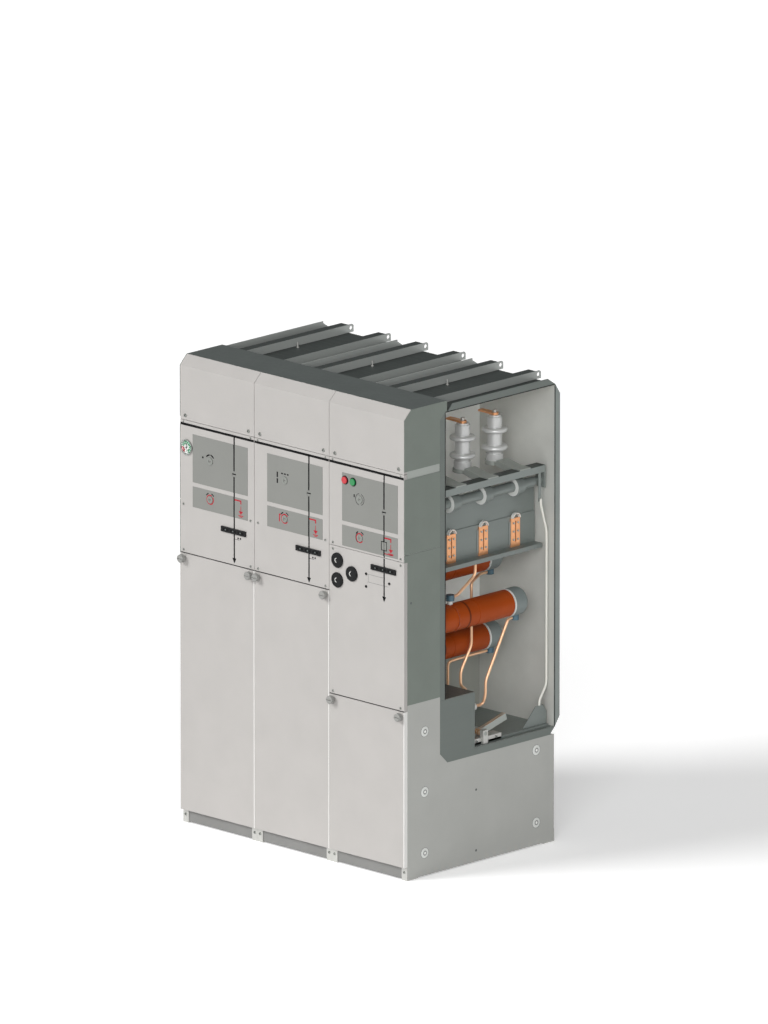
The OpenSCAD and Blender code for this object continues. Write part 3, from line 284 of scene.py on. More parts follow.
# a CAD node's own shape with soft edges and its finish, in place of the plain one
def dressNode(node, *matNames, edge=meshing["softEdge"], zone=None, cuts=(), ease=None):
    form = nodeForm(node)
    bmesh.ops.dissolve_limit(form, angle_limit=meshing["flatAngle"], verts=form.verts, edges=form.edges)
    for axis, place in cuts:  # planes where the finish changes
        across = Vector([1.0 if k == axis else 0.0 for k in range(3)])
        bmesh.ops.bisect_plane(form, geom=form.verts[:] + form.edges[:] + form.faces[:], plane_co=across * place,
                               plane_no=across)
    if ease:  # joint of a turning piece, and how far its skin is drawn in so that it turns free of its bearings
        centre, axis = (Vector(jointOf[ease[0]][key]) for key in ("pos_m", "axis"))
        for v in form.verts:
            reach = v.co - centre
            reach -= axis * reach.dot(axis)
            v.co -= reach.normalized() * ease[1]
    for face in form.faces:
        face.material_index = zone(face) if zone else 0
    piece = makePiece(node + "_form", form, matNames, bodyOf[node], edge)
    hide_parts(node)
    return piece


# flat marks stand off their face by depth and reach into it by sunk; bolts and rims reach in by seat
ink = dict(depth=0.0003, sunk=0.0001)
seat = 0.0004
frontward = (0, -1, 0)


def box(form, low, high, mat=0):
    made = bmesh.ops.create_cube(form, size=1)["verts"]
    for v in made:
        v.co = [low[k] if v.co[k] < 0 else high[k] for k in range(3)]
    for face in {f for v in made for f in v.link_faces}:
        face.material_index = mat


def flatShape(form, outline, y0, y1, mat=0):  # an outline in X and Z, from y0 in front to y1 behind it
    front = [form.verts.new((x, y0, z)) for x, z in outline]
    back = [form.verts.new((x, y1, z)) for x, z in outline]
    faces = [form.faces.new(front), form.faces.new(back[::-1])]
    for i in range(len(outline)):
        j = (i + 1) % len(outline)
        faces.append(form.faces.new((front[j], front[i], back[i], back[j])))
    for face in faces:
        face.material_index = mat
    bmesh.ops.recalc_face_normals(form, faces=faces)


def mark(form, outline, y, depth=ink["depth"], mat=0):
    flatShape(form, outline, y - depth, y + ink["sunk"], mat)


def bar(form, x0, x1, z0, z1, y, depth=ink["depth"], mat=0):
    mark(form, [(x0, z0), (x1, z0), (x1, z1), (x0, z1)], y, depth, mat)


# a flat arc, in degrees from +X to +Z
def ring(form, x, z, inner, outer, start, end, y, depth=ink["depth"], mat=0, steps=28):
    rows, whole = [], end - start == 360
    front, back = y - depth, y + ink["sunk"]
    for i in range(steps if whole else steps + 1):
        t = math.radians(start + (end - start) * i / steps)
        rows.append([form.verts.new((x + r * math.cos(t), fy, z + r * math.sin(t))) for r, fy in
                     ((inner, front), (outer, front), (outer, back), (inner, back))])
    faces = [] if whole else [form.faces.new(rows[0]), form.faces.new(rows[-1][::-1])]
    for low, high in zip(rows, rows[1:] + (rows[:1] if whole else [])):
        for k in range(4):
            n = (k + 1) % 4
            faces.append(form.faces.new((low[n], low[k], high[k], high[n])))
    for face in faces:
        face.material_index = mat
    bmesh.ops.recalc_face_normals(form, faces=faces)


def disc(form, x, z, radius, y0, y1, mat=0, sides=32):
    turns = [math.tau * i / sides for i in range(sides)]
    flatShape(form, [(x + radius * math.cos(t), z + radius * math.sin(t)) for t in turns], y0, y1, mat)


def turned(form, profile, axis, origin, sides, mat=0, hollow=False):  # profile of (radius, distance along axis)
    lift = Vector(axis).normalized()
    side = lift.orthogonal().normalized()
    other = lift.cross(side)
    turns = [math.tau * i / sides for i in range(sides)]
    rows = []
    for radius, along in profile:
        rows.append([form.verts.new(Vector(origin) + lift * along + radius * (
            side * math.cos(t) + other * math.sin(t))) for t in turns])
    faces = [] if hollow else [form.faces.new(rows[0][::-1]), form.faces.new(rows[-1])]
    for low, high in zip(rows, rows[1:] + (rows[:1] if hollow else [])):  # a hollow piece is a ring
        for i in range(sides):
            j = (i + 1) % sides
            faces.append(form.faces.new((low[i], low[j], high[j], high[i])))
    for face in faces:
        face.material_index = mat


boltHead = dict(topR=0.8, topH=1.15, sides=6)  # chamfer in multiples of its radius and height


def hexBolt(form, place, radius, height, mat):  # a bolt head that looks along +X
    profile = [(radius, -seat), (radius, height), (radius * boltHead["topR"], height * boltHead["topH"])]
    turned(form, profile, (1, 0, 0), place, boltHead["sides"], mat)


# every CAD node with its own finish; a zone says which of the node's finishes a face takes
facing = 0.9  # a face looks along an axis if this much of its normal does
# where a finish changes: places and radii in metres, collarArea in square metres
zoneAt = dict(slant=0.5, outerX=0.62, stepZ=0.5, roofZ=1.7, stripY=0.42, partitionX=0.2, greyZ=0.77, railZ=1.548,
              hookZ=1.3435, lugZ=1.7565, rearY=0.1, bandR=0.0585, neckR=0.074, collarArea=0.0006, collarY=-0.18,
              blockDepth=0.045, stepDepth=0.199, fold=0.004)
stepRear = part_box("tank_end_flange")[0].y + zoneAt["stepDepth"]  # rear face of the tank step
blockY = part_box("earth_knife")[0].y + zoneAt["blockDepth"]  # rear end of the pale bearing blocks
foldX = [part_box(f"cable_cover_{i}")[1].x for i in modules]
canisters = solidsOf("fuse_tubes")


def sideZone(face):  # base walls: painted outside, bare inside
    outer = abs(face.calc_center_median().x) > zoneAt["outerX"]
    return 0 if abs(face.normal.x) < zoneAt["slant"] or outer else 1


def tankZone(face):  # painted shade: faces that look up are darker than the walls, and the roof most of all
    z = face.calc_center_median().z
    return 0 if face.normal.z < facing else 2 if z < zoneAt["stepZ"] else 3 if z > zoneAt["roofZ"] else 1


def endZone(face):  # the rear strip of the open flange is lighter, a painted highlight along its edge
    return 1 if face.calc_center_median().y > zoneAt["stripY"] else 0


def wallZone(face):  # behind the open tank the wall is painted pale as painted light, and darker below; its rim above the roof takes the lighter tint of painted light
    centre = face.calc_center_median()
    if face.normal.x < facing:
        return 0
    if centre.z > roofZ:
        return 2
    return 0 if centre.x < zoneAt["partitionX"] else 1 if centre.z > zoneAt["greyZ"] else 3


def railZone(face):  # painted shade on the top of the rail
    return 1 if face.normal.z > facing and face.calc_center_median().z > zoneAt["railZ"] else 0


def hookZone(face):  # plain steel hook over each copper contact
    return 1 if face.calc_center_median().z > zoneAt["hookZ"] else 0


def channelZone(face):  # painted shade on the tops, painted light on the sides
    return 1 if face.normal.z > facing else 0


def boltZone(face):  # steel bolt through each busbar lug
    return 1 if face.calc_center_median().z > zoneAt["lugZ"] else 0


def clampZone(face):  # pale band at each cap, pale neck and blue head on each terminal
    centre = face.calc_center_median()
    reach = min(math.hypot(centre.x - mid[0], centre.z - mid[2]) for mid in (middle(*ends) for ends in canisters))
    if centre.y > zoneAt["rearY"]:
        return 1 if reach < zoneAt["bandR"] else 0
    return 2 if reach < zoneAt["bandR"] else 1 if reach < zoneAt["neckR"] else 0


def baseZone(face):  # pale bearing blocks of the earthing switch
    return 1 if face.calc_center_median().y < blockY else 0


def knifeZone(face):  # the faces of the knife that look along +X are pale
    return 1 if face.normal.x > facing else 0


def coverZone(face):  # a pale strip at the right edge of each cable cover, a painted highlight of its fold
    x = face.calc_center_median().x
    return 1 if any(abs(x - edgeX) < zoneAt["fold"] for edgeX in foldX) else 0


def bushingZone(face):  # pale inside the tank, brown in the cable space
    return 1 if face.calc_center_median().y > stepRear else 0


def shaftZone(face):  # the front of each collar is pale, a painted highlight of its rim
    front = face.normal.y < -facing and face.calc_area() > zoneAt["collarArea"]
    return 1 if front and face.calc_center_median().y > zoneAt["collarY"] else 0


dressing = {
    "foot_brackets": "footZinc", "kick_plates": "kickPaint", "base_rear_panels": "basePaint",
    "side_plugs": "basePaint", "hood": "hoodPaint", "front_uprights": "stripZinc", "side_covers": "sidePaint",
    "top_covers": "frontPaint", "fuse_panel": "frontPaint", "mimic_plates": "plateGrey",
    "voltage_indicators": "blackMould", "phase_plugs": "blackMould", "gauge_case": "rimMetal",
    "gauge_glass": "gaugeClear", "gauge_needle": "inkBlack", "switch_web": "switchSteel",
    "pole_blocks": "stripZinc", "busbar_bushings": "resinGrey", "fuse_tubes": "fuseResin", "fuse_caps": "capGrey",
    "copper_leads": "leadCopper", "sensing_tube": "tubePale", "drive_units": "driveSteel",
    "trip_button": "buttonRed", "close_button": "buttonGreen",
}
for i in modules:
    dressing[f"mimic_panel_{i}"] = "frontPaint"
    dressing[f"load_hub_{i}"] = "hubSteel"
    dressing[f"earth_hub_{i}"] = "hubSteel"
    dressing[f"indicator_{i}"] = "plateGrey"
for k in range(1, 7):
    dressing[f"cover_knob_{k}"] = "knobGrey"
edges = {"mimic_plates": 0.0002, "gauge_glass": 0.0002, "gauge_needle": 0.0001, "gauge_case": 0.0004,
         "copper_leads": 0, "sensing_tube": 0, "pole_blocks": 0.0015}
for node, matName in dressing.items():
    dressNode(node, matName, edge=edges.get(node, meshing["softEdge"]))
dressNode("base_walls", "basePaint", "stripZinc", zone=sideZone)
# the tanks take painted shade on the faces that look up
for node in ("sealed_tanks", "open_tank"):
    dressNode(node, "tankSteel", "paintedShadeUp", "switchSteel", "paintedShadeTop", zone=tankZone)
# lifting channels: painted shade on the tops, painted light on the sides
dressNode("lifting_channels", "paintedLightSteel", "paintedShadeTop", zone=channelZone)
dressNode("tank_walls", "flangeSteel", "paintedLightWall", "paintedLightSteel", "wallGrey", zone=wallZone,
          cuts=((2, roofZ), (2, zoneAt["greyZ"])))
dressNode("tank_end_flange", "flangeSteel", "railSteel", zone=endZone)
dressNode("switch_rail", "railSteel", "paintedShadeTop", zone=railZone)
dressNode("earthing_base", "switchSteel", "footZinc", zone=baseZone, cuts=((1, blockY),))
dressNode("earth_knife", "bladeBronze", "stripZinc", zone=knifeZone, edge=0.0004)
dressNode("fixed_contacts", "bareCopper", "collarPale", zone=hookZone)
dressNode("busbar_lugs", "bareCopper", "footZinc", zone=boltZone)
dressNode("fuse_clamps", "clampBlue", "collarPale", "fuseResin", zone=clampZone)
dressNode("switch_shaft", "switchSteel", "collarPale", zone=shaftZone, ease=("switch_turn", 0.0003))
dressNode("cable_bushings", "bushingBrown", "collarPale", zone=bushingZone)
for i, edgeX in zip(modules, foldX):
    dressNode(f"cable_cover_{i}", "frontPaint", "paintedHighlightEdge", zone=coverZone, cuts=((0, edgeX - zoneAt["fold"]),))
print("nodes dressed:", len(nodes))

# printed mimic diagram: heights, and offsets from the module centre, in metres
mimic = dict(busZ=1.654, busHalf=0.005, busInset=0.001, lineX=0.097, lineHalf=0.0035, footZ=1.15, switchZ=1.498,
             gapHalf=0.0122, loadPlate=(1.422, 1.62), earthPlate=(1.32, 1.405), lampGap=(1.252, 1.274),
             seamGap=(0.001, 0.003), hubX=-0.038, loadZ=1.526, earthZ=1.368, branchX=0.135, branchHalf=0.0028,
             branchZ=1.394)
lineTip = dict(tipZ=1.13, shoulderZ=1.152, half=0.011)
fuseSign = dict(low=1.341, high=1.379, half=0.016, stroke=0.003, wireHalf=0.001, earthZ=(1.3285, 1.3315),
                earthReach=0.014)
# heights below the branch; head is half width, top and tip, and each plate is half width, top and bottom
earthSign = dict(contact=0.013, stem=(0.022, 0.044), head=(0.012, 0.042, 0.057),
                 plates=((0.014, 0.059, 0.062), (0.008, 0.064, 0.067)))
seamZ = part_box("fuse_panel")[1].z  # seam across the line of the third module


def drawFuse(form, x, y):  # fuse sign: a frame round a thin wire
    low, high, half, stroke = (fuseSign[key] for key in ("low", "high", "half", "stroke"))
    for edgeX in (x - half, x + half - stroke):
        bar(form, edgeX, edgeX + stroke, low, high, y)
    for edgeZ in (low, high - stroke):
        bar(form, x - half, x + half, edgeZ, edgeZ + stroke, y)
    bar(form, x - fuseSign["wireHalf"], x + fuseSign["wireHalf"], low + stroke, high - stroke, y)


def drawLine(form, c, fused):
    x = c + mimic["lineX"]
    x0, x1 = x - mimic["lineHalf"], x + mimic["lineHalf"]
    (loadLow, loadHigh), (earthLow, earthHigh) = mimic["loadPlate"], mimic["earthPlate"]
    openLow, openHigh = mimic["switchZ"] - mimic["gapHalf"], mimic["switchZ"] + mimic["gapHalf"]
    stops = [(mimic["footZ"], mimic["lampGap"][0], faceY), (mimic["lampGap"][1], earthLow, faceY),
             (earthLow, earthHigh, plateY), (earthHigh, loadLow, faceY), (loadLow, openLow, plateY),
             (openHigh, loadHigh, plateY), (loadHigh, mimic["busZ"], faceY)]
    for low, high, y in stops:
        gap = None
        if fused and low == earthLow:  # room for the fuse sign
            gap = fuseSign["low"], fuseSign["high"]
        elif fused and low < seamZ < high:
            gap = seamZ - mimic["seamGap"][0], seamZ + mimic["seamGap"][1]
        if gap:
            bar(form, x0, x1, low, gap[0], y)
            bar(form, x0, x1, gap[1], high, y)
        else:
            bar(form, x0, x1, low, high, y)
        if fused and low == earthLow:
            drawFuse(form, x, y)
    half, shoulderZ = lineTip["half"], lineTip["shoulderZ"]
    mark(form, [(x - half, shoulderZ), (x, lineTip["tipZ"]), (x + half, shoulderZ)], faceY)


def drawEarth(form, c, y):  # red branch with a gap and an earth arrow
    x0, x1 = c + mimic["lineX"] + mimic["lineHalf"], c + mimic["branchX"]
    h, topZ = mimic["branchHalf"], mimic["branchZ"]
    bar(form, x0, x1 + h, topZ - h, topZ + h, y)
    bar(form, x1 - h, x1 + h, topZ - earthSign["contact"], topZ - h, y)
    bar(form, x1 - h / 2, x1 + h / 2, topZ - earthSign["stem"][1], topZ - earthSign["stem"][0], y)
    half, headTop, tip = earthSign["head"]
    mark(form, [(x1 - half, topZ - headTop), (x1, topZ - tip), (x1 + half, topZ - headTop)], y)
    for half, high, low in earthSign["plates"]:
        bar(form, x1 - half, x1 + half, topZ - low, topZ - high, y)


# marks round the sockets of each module, from the socket's centre: dots are (x, z, radius), arcs are
# (inner, outer, start, end, steps) and bars are (x0, x1, z0, z1)
loadMarks = [
    dict(dots=[(-0.041, 0.009, 0.0045)], arcs=[(0.0228, 0.0286, 96, 142, 10), (0.0228, 0.0286, 38, 84, 10)]),
    dict(bars=[(-0.045, -0.038, 0.006, 0.028), (-0.045, -0.038, -0.018, 0.001), (-0.02, -0.01, 0.023, 0.0285),
               (-0.004, 0.006, 0.023, 0.0285), (0.012, 0.022, 0.023, 0.0285)]),
    dict(arcs=[(0.0225, 0.0245, 100, 260, 28), (0.0225, 0.0245, -70, 70, 28)],
         bars=[(-0.034, -0.028, 0.004, 0.016)]),
]
earthMarks = [
    dict(arcs=[(0.0165, 0.0205, 60, 400, 28)]),
    dict(arcs=[(0.0165, 0.0205, 35, 325, 28)],
         bars=[(-0.032, -0.027, -0.016, 0.016), (-0.027, -0.0195, 0.012, 0.016)]),
    dict(arcs=[(0.0165, 0.0205, 35, 325, 28)]),
]
turnArrows = [(0.0238, 0.0282, 40, 74, 8), (0.0238, 0.0282, 110, 144, 8)]  # above each earth socket
fusedArc = (0.0212, 0.0232, 120, 240, 16)


def drawMarks(form, x, z, dots=(), arcs=(), bars=()):
    for dx, dz, radius in dots:
        disc(form, x + dx, z + dz, radius, plateY - ink["depth"], plateY + ink["sunk"], sides=20)
    for inner, outer, start, end, steps in arcs:
        ring(form, x, z, inner, outer, start, end, plateY, steps=steps)
    for x0, x1, z0, z1 in bars:
        bar(form, x + x0, x + x1, z + z0, z + z1, plateY)


black, red = bmesh.new(), bmesh.new()
for m, c in enumerate(centres):
    low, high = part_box(f"mimic_panel_{m + 1}")
    bar(black, low.x + mimic["busInset"], high.x - mimic["busInset"], mimic["busZ"] - mimic["busHalf"],
        mimic["busZ"] + mimic["busHalf"], faceY)
    fused = m == 2
    drawLine(black, c, fused)
    drawEarth(red, c, plateY)
    hubX = c + mimic["hubX"]
    drawMarks(black, hubX, mimic["loadZ"], **loadMarks[m])
    drawMarks(black, hubX, mimic["earthZ"], arcs=turnArrows + [fusedArc] * fused)
    drawMarks(red, hubX, mimic["earthZ"], **earthMarks[m])
    if fused:  # second earth line, below the fuse
        x0, x1 = c + mimic["lineX"] + mimic["lineHalf"], c + mimic["branchX"] + fuseSign["earthReach"]
        bar(red, x0, x1, *fuseSign["earthZ"], plateY)
makePiece("mimicLines", black, ["inkBlack"])
makePiece("earthSigns", red, ["inkRed"])

contactBar = dict(reach=0.0105, half=0.0025, depth=0.0002)  # switch-position bar on each indicator
for m, c in enumerate(centres):
    form = bmesh.new()
    x, y = c + mimic["lineX"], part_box(f"indicator_{m + 1}")[0].y
    bar(form, x - contactBar["reach"], x + contactBar["reach"], mimic["switchZ"] - contactBar["half"],
        mimic["switchZ"] + contactBar["half"], y, contactBar["depth"])
    makePiece(f"indicatorBar{m + 1}", form, ["inkBlack"], bodyOf[f"indicator_{m + 1}"])
print("mimic diagram drawn")

# screws on the front: pan heads with a black cross on top, painted shade of the cross slot; sizes in multiples of
# the radius
head = dict(profile=((1, 0.25), (0.82, 0.5), (0.4, 0.6)), sunk=0.0002, sides=20, reach=0.55, half=0.1,
            cross=(0.62, 0.5))


def screw(form, x, z, radius, y, turn):
    profile = [(radius, -head["sunk"])] + [(radius * r, radius * h) for r, h in head["profile"]]
    turned(form, profile, frontward, (x, y, z), head["sides"])
    reach, half = radius * head["reach"], radius * head["half"]
    top, foot = (y - radius * h for h in head["cross"])
    for a in (turn, turn + math.pi / 2):
        across, up = Vector((math.cos(a), math.sin(a))), Vector((-math.sin(a), math.cos(a)))
        corners = [across * s * reach + up * t * half for s, t in ((-1, -1), (1, -1), (1, 1), (-1, 1))]
        flatShape(form, [(x + p.x, z + p.y) for p in corners], top, foot, 1)


# places of the screws: offset from the module centre, height, radius and turn of the cross
screwAt = dict(topX=0.178, topZ=1.69, topR=0.0075, topTurn=0.4, panelX=0.189, headZ=1.6635, headR=0.0038,
               headTurn=0.5, panelR=0.005, panelTurn=0.7, panelZ=((1.323, 1.135), (1.323, 1.135), (1.323,)),
               fuseZ=(1.297, 0.712), footX=0.195, footZ=0.034, footR=0.006)
screws = bmesh.new()
for m, c in enumerate(centres):
    for side in (-1, 1):
        topX, panelX = c + side * screwAt["topX"], c + side * screwAt["panelX"]
        screw(screws, topX, screwAt["topZ"], screwAt["topR"], faceY, screwAt["topTurn"] * side + m)
        screw(screws, panelX, screwAt["headZ"], screwAt["headR"], faceY, screwAt["headTurn"] * side)
        for z in screwAt["panelZ"][m]:
            screw(screws, panelX, z, screwAt["panelR"], faceY, screwAt["panelTurn"] * side + z)
for z in screwAt["fuseZ"]:
    for side in (-1, 1):
        screw(screws, centres[2] + side * screwAt["panelX"], z, screwAt["panelR"], faceY, side * z)
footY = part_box("foot_brackets")[0].y
for m, c in enumerate(centres):
    for side in (-1, 1):
        screw(screws, c + side * screwAt["footX"], screwAt["footZ"], screwAt["footR"], footY, side + m)
makePiece("frontScrews", screws, ["screwSteel", "inkBlack"])

gapShade = dict(inset=0.001, height=0.0026, depth=0.0004)  # dark strip at the lower edge of the panel above each cable cover, a painted shadow of the gap there
gapShades = bmesh.new()
for node in ("mimic_panel_1", "mimic_panel_2", "fuse_panel"):
    low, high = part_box(node)
    bar(gapShades, low.x + gapShade["inset"], high.x - gapShade["inset"], low.z, low.z + gapShade["height"], faceY,
        gapShade["depth"])
makePiece("panelGapShades", gapShades, ["blackMould"])

# lamps of the voltage indicators, from the mimic line, and the test sockets beside them
lampRow = dict(shift=-0.002, pitch=0.042, half=0.0155, z=(1.2585, 1.2675), depth=0.0006, lensZ=1.263,
               lensR=0.0032, lensProud=0.0014, lensSides=18)
pins = dict(x=0.119, pitch=0.013, z=1.238, outer=0.0034, inner=0.0022, proud=0.0015, sides=20, tray=0.126,
            trayZ=(1.2305, 1.232))
sockets = dict(places=((0.417, 1.228), (0.417, 1.176), (0.546, 1.211)), outer=0.0055, inner=0.0035, proud=0.002,
               sides=24, linkDepth=0.0002, links=((0.424, 0.513, 1.2274, 1.2286), (0.424, 0.54, 1.1954, 1.1966),
                                                  (0.4296, 0.4304, 1.1966, 1.2274)))


def eyelet(form, x, z, kind):  # a short open tube on the front
    outer, inner, proud = kind["outer"], kind["inner"], kind["proud"]
    profile = [(outer, 0), (outer, proud), (inner, proud), (inner, seat)]
    turned(form, profile, frontward, (x, faceY, z), kind["sides"], 2)


lamps = bmesh.new()
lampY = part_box("voltage_indicators")[0].y
for m, c in enumerate(centres):
    for k in (-1, 0, 1):
        x = c + mimic["lineX"] + lampRow["shift"] + k * lampRow["pitch"]
        bar(lamps, x - lampRow["half"], x + lampRow["half"], *lampRow["z"], lampY, lampRow["depth"])
        disc(lamps, x, lampRow["lensZ"], lampRow["lensR"], lampY - lampRow["lensProud"], lampY, 1,
             lampRow["lensSides"])
    if m < 2:
        bar(lamps, c + mimic["lineX"], c + pins["tray"], *pins["trayZ"], faceY, mat=2)
        for k in range(2):
            eyelet(lamps, c + pins["x"] + pins["pitch"] * k, pins["z"], pins)
for link in sockets["links"]:  # hairlines between the sockets
    bar(lamps, *link, faceY, sockets["linkDepth"], 1)
for x, z in sockets["places"]:
    eyelet(lamps, x, z, sockets)
makePiece("voltageLamps", lamps, ["inkBlack", "hoodPaint", "blackMould"])

# pale arcs painted as the highlight on each cap's grip, and a raised rim on the capped sockets
grip = dict(places=((0.2575, 1.254), (0.2575, 1.173), (0.338, 1.213)), inner=0.007, outer=0.0098, sweep=(95, 265),
            gripSteps=20, rimIn=0.0225, rimOut=0.0245, rimDepth=0.0006, rimSteps=48)
gripHighlights = bmesh.new()
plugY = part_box("phase_plugs")[0].y
for x, z in grip["places"]:
    ring(gripHighlights, x, z, grip["inner"], grip["outer"], *grip["sweep"], plugY, steps=grip["gripSteps"])
    ring(gripHighlights, x, z, grip["rimIn"], grip["rimOut"], 0, 360, plugY, grip["rimDepth"], 1, grip["rimSteps"])
makePiece("plugHighlights", gripHighlights, ["paintedHighlightWhite", "blackMould"])

# gauge face: green and red fields, and a scale of ticks with every third one longer
dial = dict(x=-0.17, z=1.561, behind=0.0015, radius=0.0268, sides=48, proud=0.0002, fieldIn=0.0135,
            fieldOut=0.0262, fields=((-70, 175), (180, 245)), ticks=13, tickFrom=220, tickStep=20, tickHalf=1.2,
            tickIn=0.0108, longIn=0.0092, tickOut=0.0128, tickDepth=0.0003)
gauge = bmesh.new()
gaugeX, gaugeZ, dialY = centres[0] + dial["x"], dial["z"], faceY - dial["behind"]
scaleY = dialY - dial["proud"]
disc(gauge, gaugeX, gaugeZ, dial["radius"], scaleY, dialY + ink["sunk"], 0, dial["sides"])
for mat, sweep in enumerate(dial["fields"], 1):
    ring(gauge, gaugeX, gaugeZ, dial["fieldIn"], dial["fieldOut"], *sweep, scaleY, dial["proud"], mat)
for k in range(dial["ticks"]):
    turn, inner = dial["tickFrom"] - dial["tickStep"] * k, dial["tickIn"] if k % 3 else dial["longIn"]
    ring(gauge, gaugeX, gaugeZ, inner, dial["tickOut"], turn - dial["tickHalf"], turn + dial["tickHalf"], scaleY,
         dial["tickDepth"], 3, 1)
makePiece("gaugeDial", gauge, ["dialFace", "inkGreen", "inkRed", "inkBlack"])

# spring shutter inside each drive socket, with a black bar painted as the shade of its slot
shutter = dict(radius=0.0079, sides=6, front=0.0015, back=0.004, slotReach=0.004, slotHalf=0.0006,
               slotDepth=0.0002)
for i in modules:
    for kind in ("load", "earth"):
        form = bmesh.new()
        low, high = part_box(f"{kind}_hub_{i}")
        x, _, z = middle(low, high)
        front = low.y + shutter["front"]
        disc(form, x, z, shutter["radius"], front, low.y + shutter["back"], 0, shutter["sides"])
        bar(form, x - shutter["slotReach"], x + shutter["slotReach"], z - shutter["slotHalf"],
            z + shutter["slotHalf"], front, shutter["slotDepth"], 1)
        makePiece(f"{kind}Shutter{i}", form, ["plateGrey", "inkBlack"], bodyOf[f"{kind}_hub_{i}"])

collar = dict(gap=0.0006, reach=0.0035, proud=0.0022, steps=48)  # round the push-buttons
collars = bmesh.new()
for node in ("trip_button", "close_button"):
    low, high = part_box(node)
    x, _, z = middle(low, high)
    r = (high.x - low.x) / 2
    ring(collars, x, z, r + collar["gap"], r + collar["reach"], 0, 360, plateY, collar["proud"],
         steps=collar["steps"])
makePiece("buttonCollars", collars, ["blackMould"])

# studs on the roof
stud = dict(x=-0.083, y=0.112, sides=24,
            profile=((0.006, -0.0005), (0.006, 0.003), (0.0034, 0.003), (0.0034, 0.021), (0.0026, 0.022)))
studs = bmesh.new()
for c in centres:
    turned(studs, stud["profile"], (0, 0, 1), (c + stud["x"], stud["y"], roofZ), stud["sides"])
makePiece("roofStuds", studs, ["footZinc"])

# dark discs in the sides, painted shade in place of plain round openings
hole = dict(x=0.63, places=((-0.022, 0.301), (-0.022, 0.05), (-0.391, 1.14)), sides=24,
            profile=((0.005, -0.0005), (0.005, 0.0002)))
holeShades = bmesh.new()
for side in (-1, 1):
    for y, z in hole["places"]:
        turned(holeShades, hole["profile"], (side, 0, 0), (side * hole["x"], y, z), hole["sides"])
makePiece("sideHoleShades", holeShades, ["hoodPaint"])

# plugs in the base sides: a dark ring of painted shade and a rim on each, and a flange round it with a dark ring
# of painted shadow at its foot; radii are multiples of the plug's own
plugFace = dict(recess=((0.66, -seat), (0.66, 0.0001), (0.5, 0.0001)), sides=32,
                rim=((0.46, -seat), (0.46, 0.0002), (0.36, 0.0004), (0.16, 0.0006)))
plugFoot = dict(shadow=((1.72, -seat), (1.72, 0.0003), (1.6, 0.0003)), sides=40,
                flange=((1.62, 0.0001), (1.62, 0.0004), (1.3, 0.0016), (0.99, 0.0019)))
rims = bmesh.new()
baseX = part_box("base_walls")[1].x
for low, high in solidsOf("side_plugs"):
    side = 1 if low.x > 0 else -1
    r = (high.y - low.y) / 2
    y, z = middle(low, high)[1:]
    for kind, key, x, mat in ((plugFace, "recess", high.x if side > 0 else low.x, 1),
                              (plugFace, "rim", high.x if side > 0 else low.x, 0),
                              (plugFoot, "shadow", side * baseX, 1), (plugFoot, "flange", side * baseX, 2)):
        profile = [(r * k, along) for k, along in kind[key]]
        turned(rims, profile, (side, 0, 0), (x, y, z), kind["sides"], mat)
makePiece("plugRims", rims, ["plugWhite", "hoodPaint", "collarPale"])
print("front fittings made")

# bolts and steel backing of the fixed contacts
contact = dict(backing=0.009, backingT=0.003, backingZ=(0.012, 0.106), thick=0.006, boltR=0.0046, boltH=0.004,
               boltY=0.0125, boltZ=(0.03, 0.064, 0.098))
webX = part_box("fixed_contacts")[0].x
contactForm = bmesh.new()
for low, high in solidsOf("fixed_contacts"):
    y = middle(low, high)[1]
    box(contactForm, (webX, low.y - contact["backing"], low.z + contact["backingZ"][0]),
        (webX + contact["backingT"], low.y, low.z + contact["backingZ"][1]))
    for up in contact["boltZ"]:
        for side in (-1, 1):
            place = (webX + contact["thick"], y + side * contact["boltY"], low.z + up)
            hexBolt(contactForm, place, contact["boltR"], contact["boltH"], 1)
makePiece("contactBolts", contactForm, ["railSteel", "footZinc"], edge=0.0003)
print("contacts dressed")

# pale bearing block under the earthing knife, with its bolts
block = dict(inset=0.011, front=0.006, reach=0.115, gap=0.003, boltR=0.0055, boltH=0.004,
             boltY=(0.025, 0.075, 0.135))
baseLow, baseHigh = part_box("earthing_base")
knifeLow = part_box("earth_knife")[0]
bearing = bmesh.new()
blockX, frontY = baseHigh.x - block["inset"], baseLow.y + block["front"]
box(bearing, (baseLow.x + block["inset"], frontY, baseLow.z),
    (blockX, knifeLow.y + block["reach"], knifeLow.z - block["gap"]))
for y in block["boltY"]:
    hexBolt(bearing, (blockX, frontY + y, (baseLow.z + knifeLow.z) / 2), block["boltR"], block["boltH"], 1)
makePiece("earthBlock", bearing, ["footZinc", "hoodPaint"], edge=0.0006)

# cap strip along the top of each tank wall, in the lighter tint of painted light
jointCap = dict(rise=0.009, skirt=0.008, wall=0.0008, mitre=0.044, hoodGap=0.001)
caps = bmesh.new()
for low, high in solidsOf("tank_walls"):
    if high.z > roofZ:
        y0, y1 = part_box("hood")[1].y + jointCap["hoodGap"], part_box("open_tank")[1].y - jointCap["mitre"]
        box(caps, (low.x - jointCap["wall"], y0, high.z - jointCap["skirt"]),
            (high.x + jointCap["wall"], y1, high.z + jointCap["rise"]))
makePiece("jointCaps", caps, ["paintedLightSteel"], edge=0.0008)

# dark ring round each canister
girdle = dict(inTank=0.177, width=0.009, sunk=0.0004, proud=0.0004, sides=64)
girdles = bmesh.new()
for low, high in canisters:
    x, _, z = middle(low, high)
    r = (high.z - low.z) / 2
    inner, outer = r - girdle["sunk"], r + girdle["proud"]
    turned(girdles, [(inner, 0), (outer, 0), (outer, girdle["width"]), (inner, girdle["width"])], (0, 1, 0),
           (x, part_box("open_tank")[0].y + girdle["inTank"], z), girdle["sides"], hollow=True)
makePiece("canisterRings", girdles, ["fuseDark"])

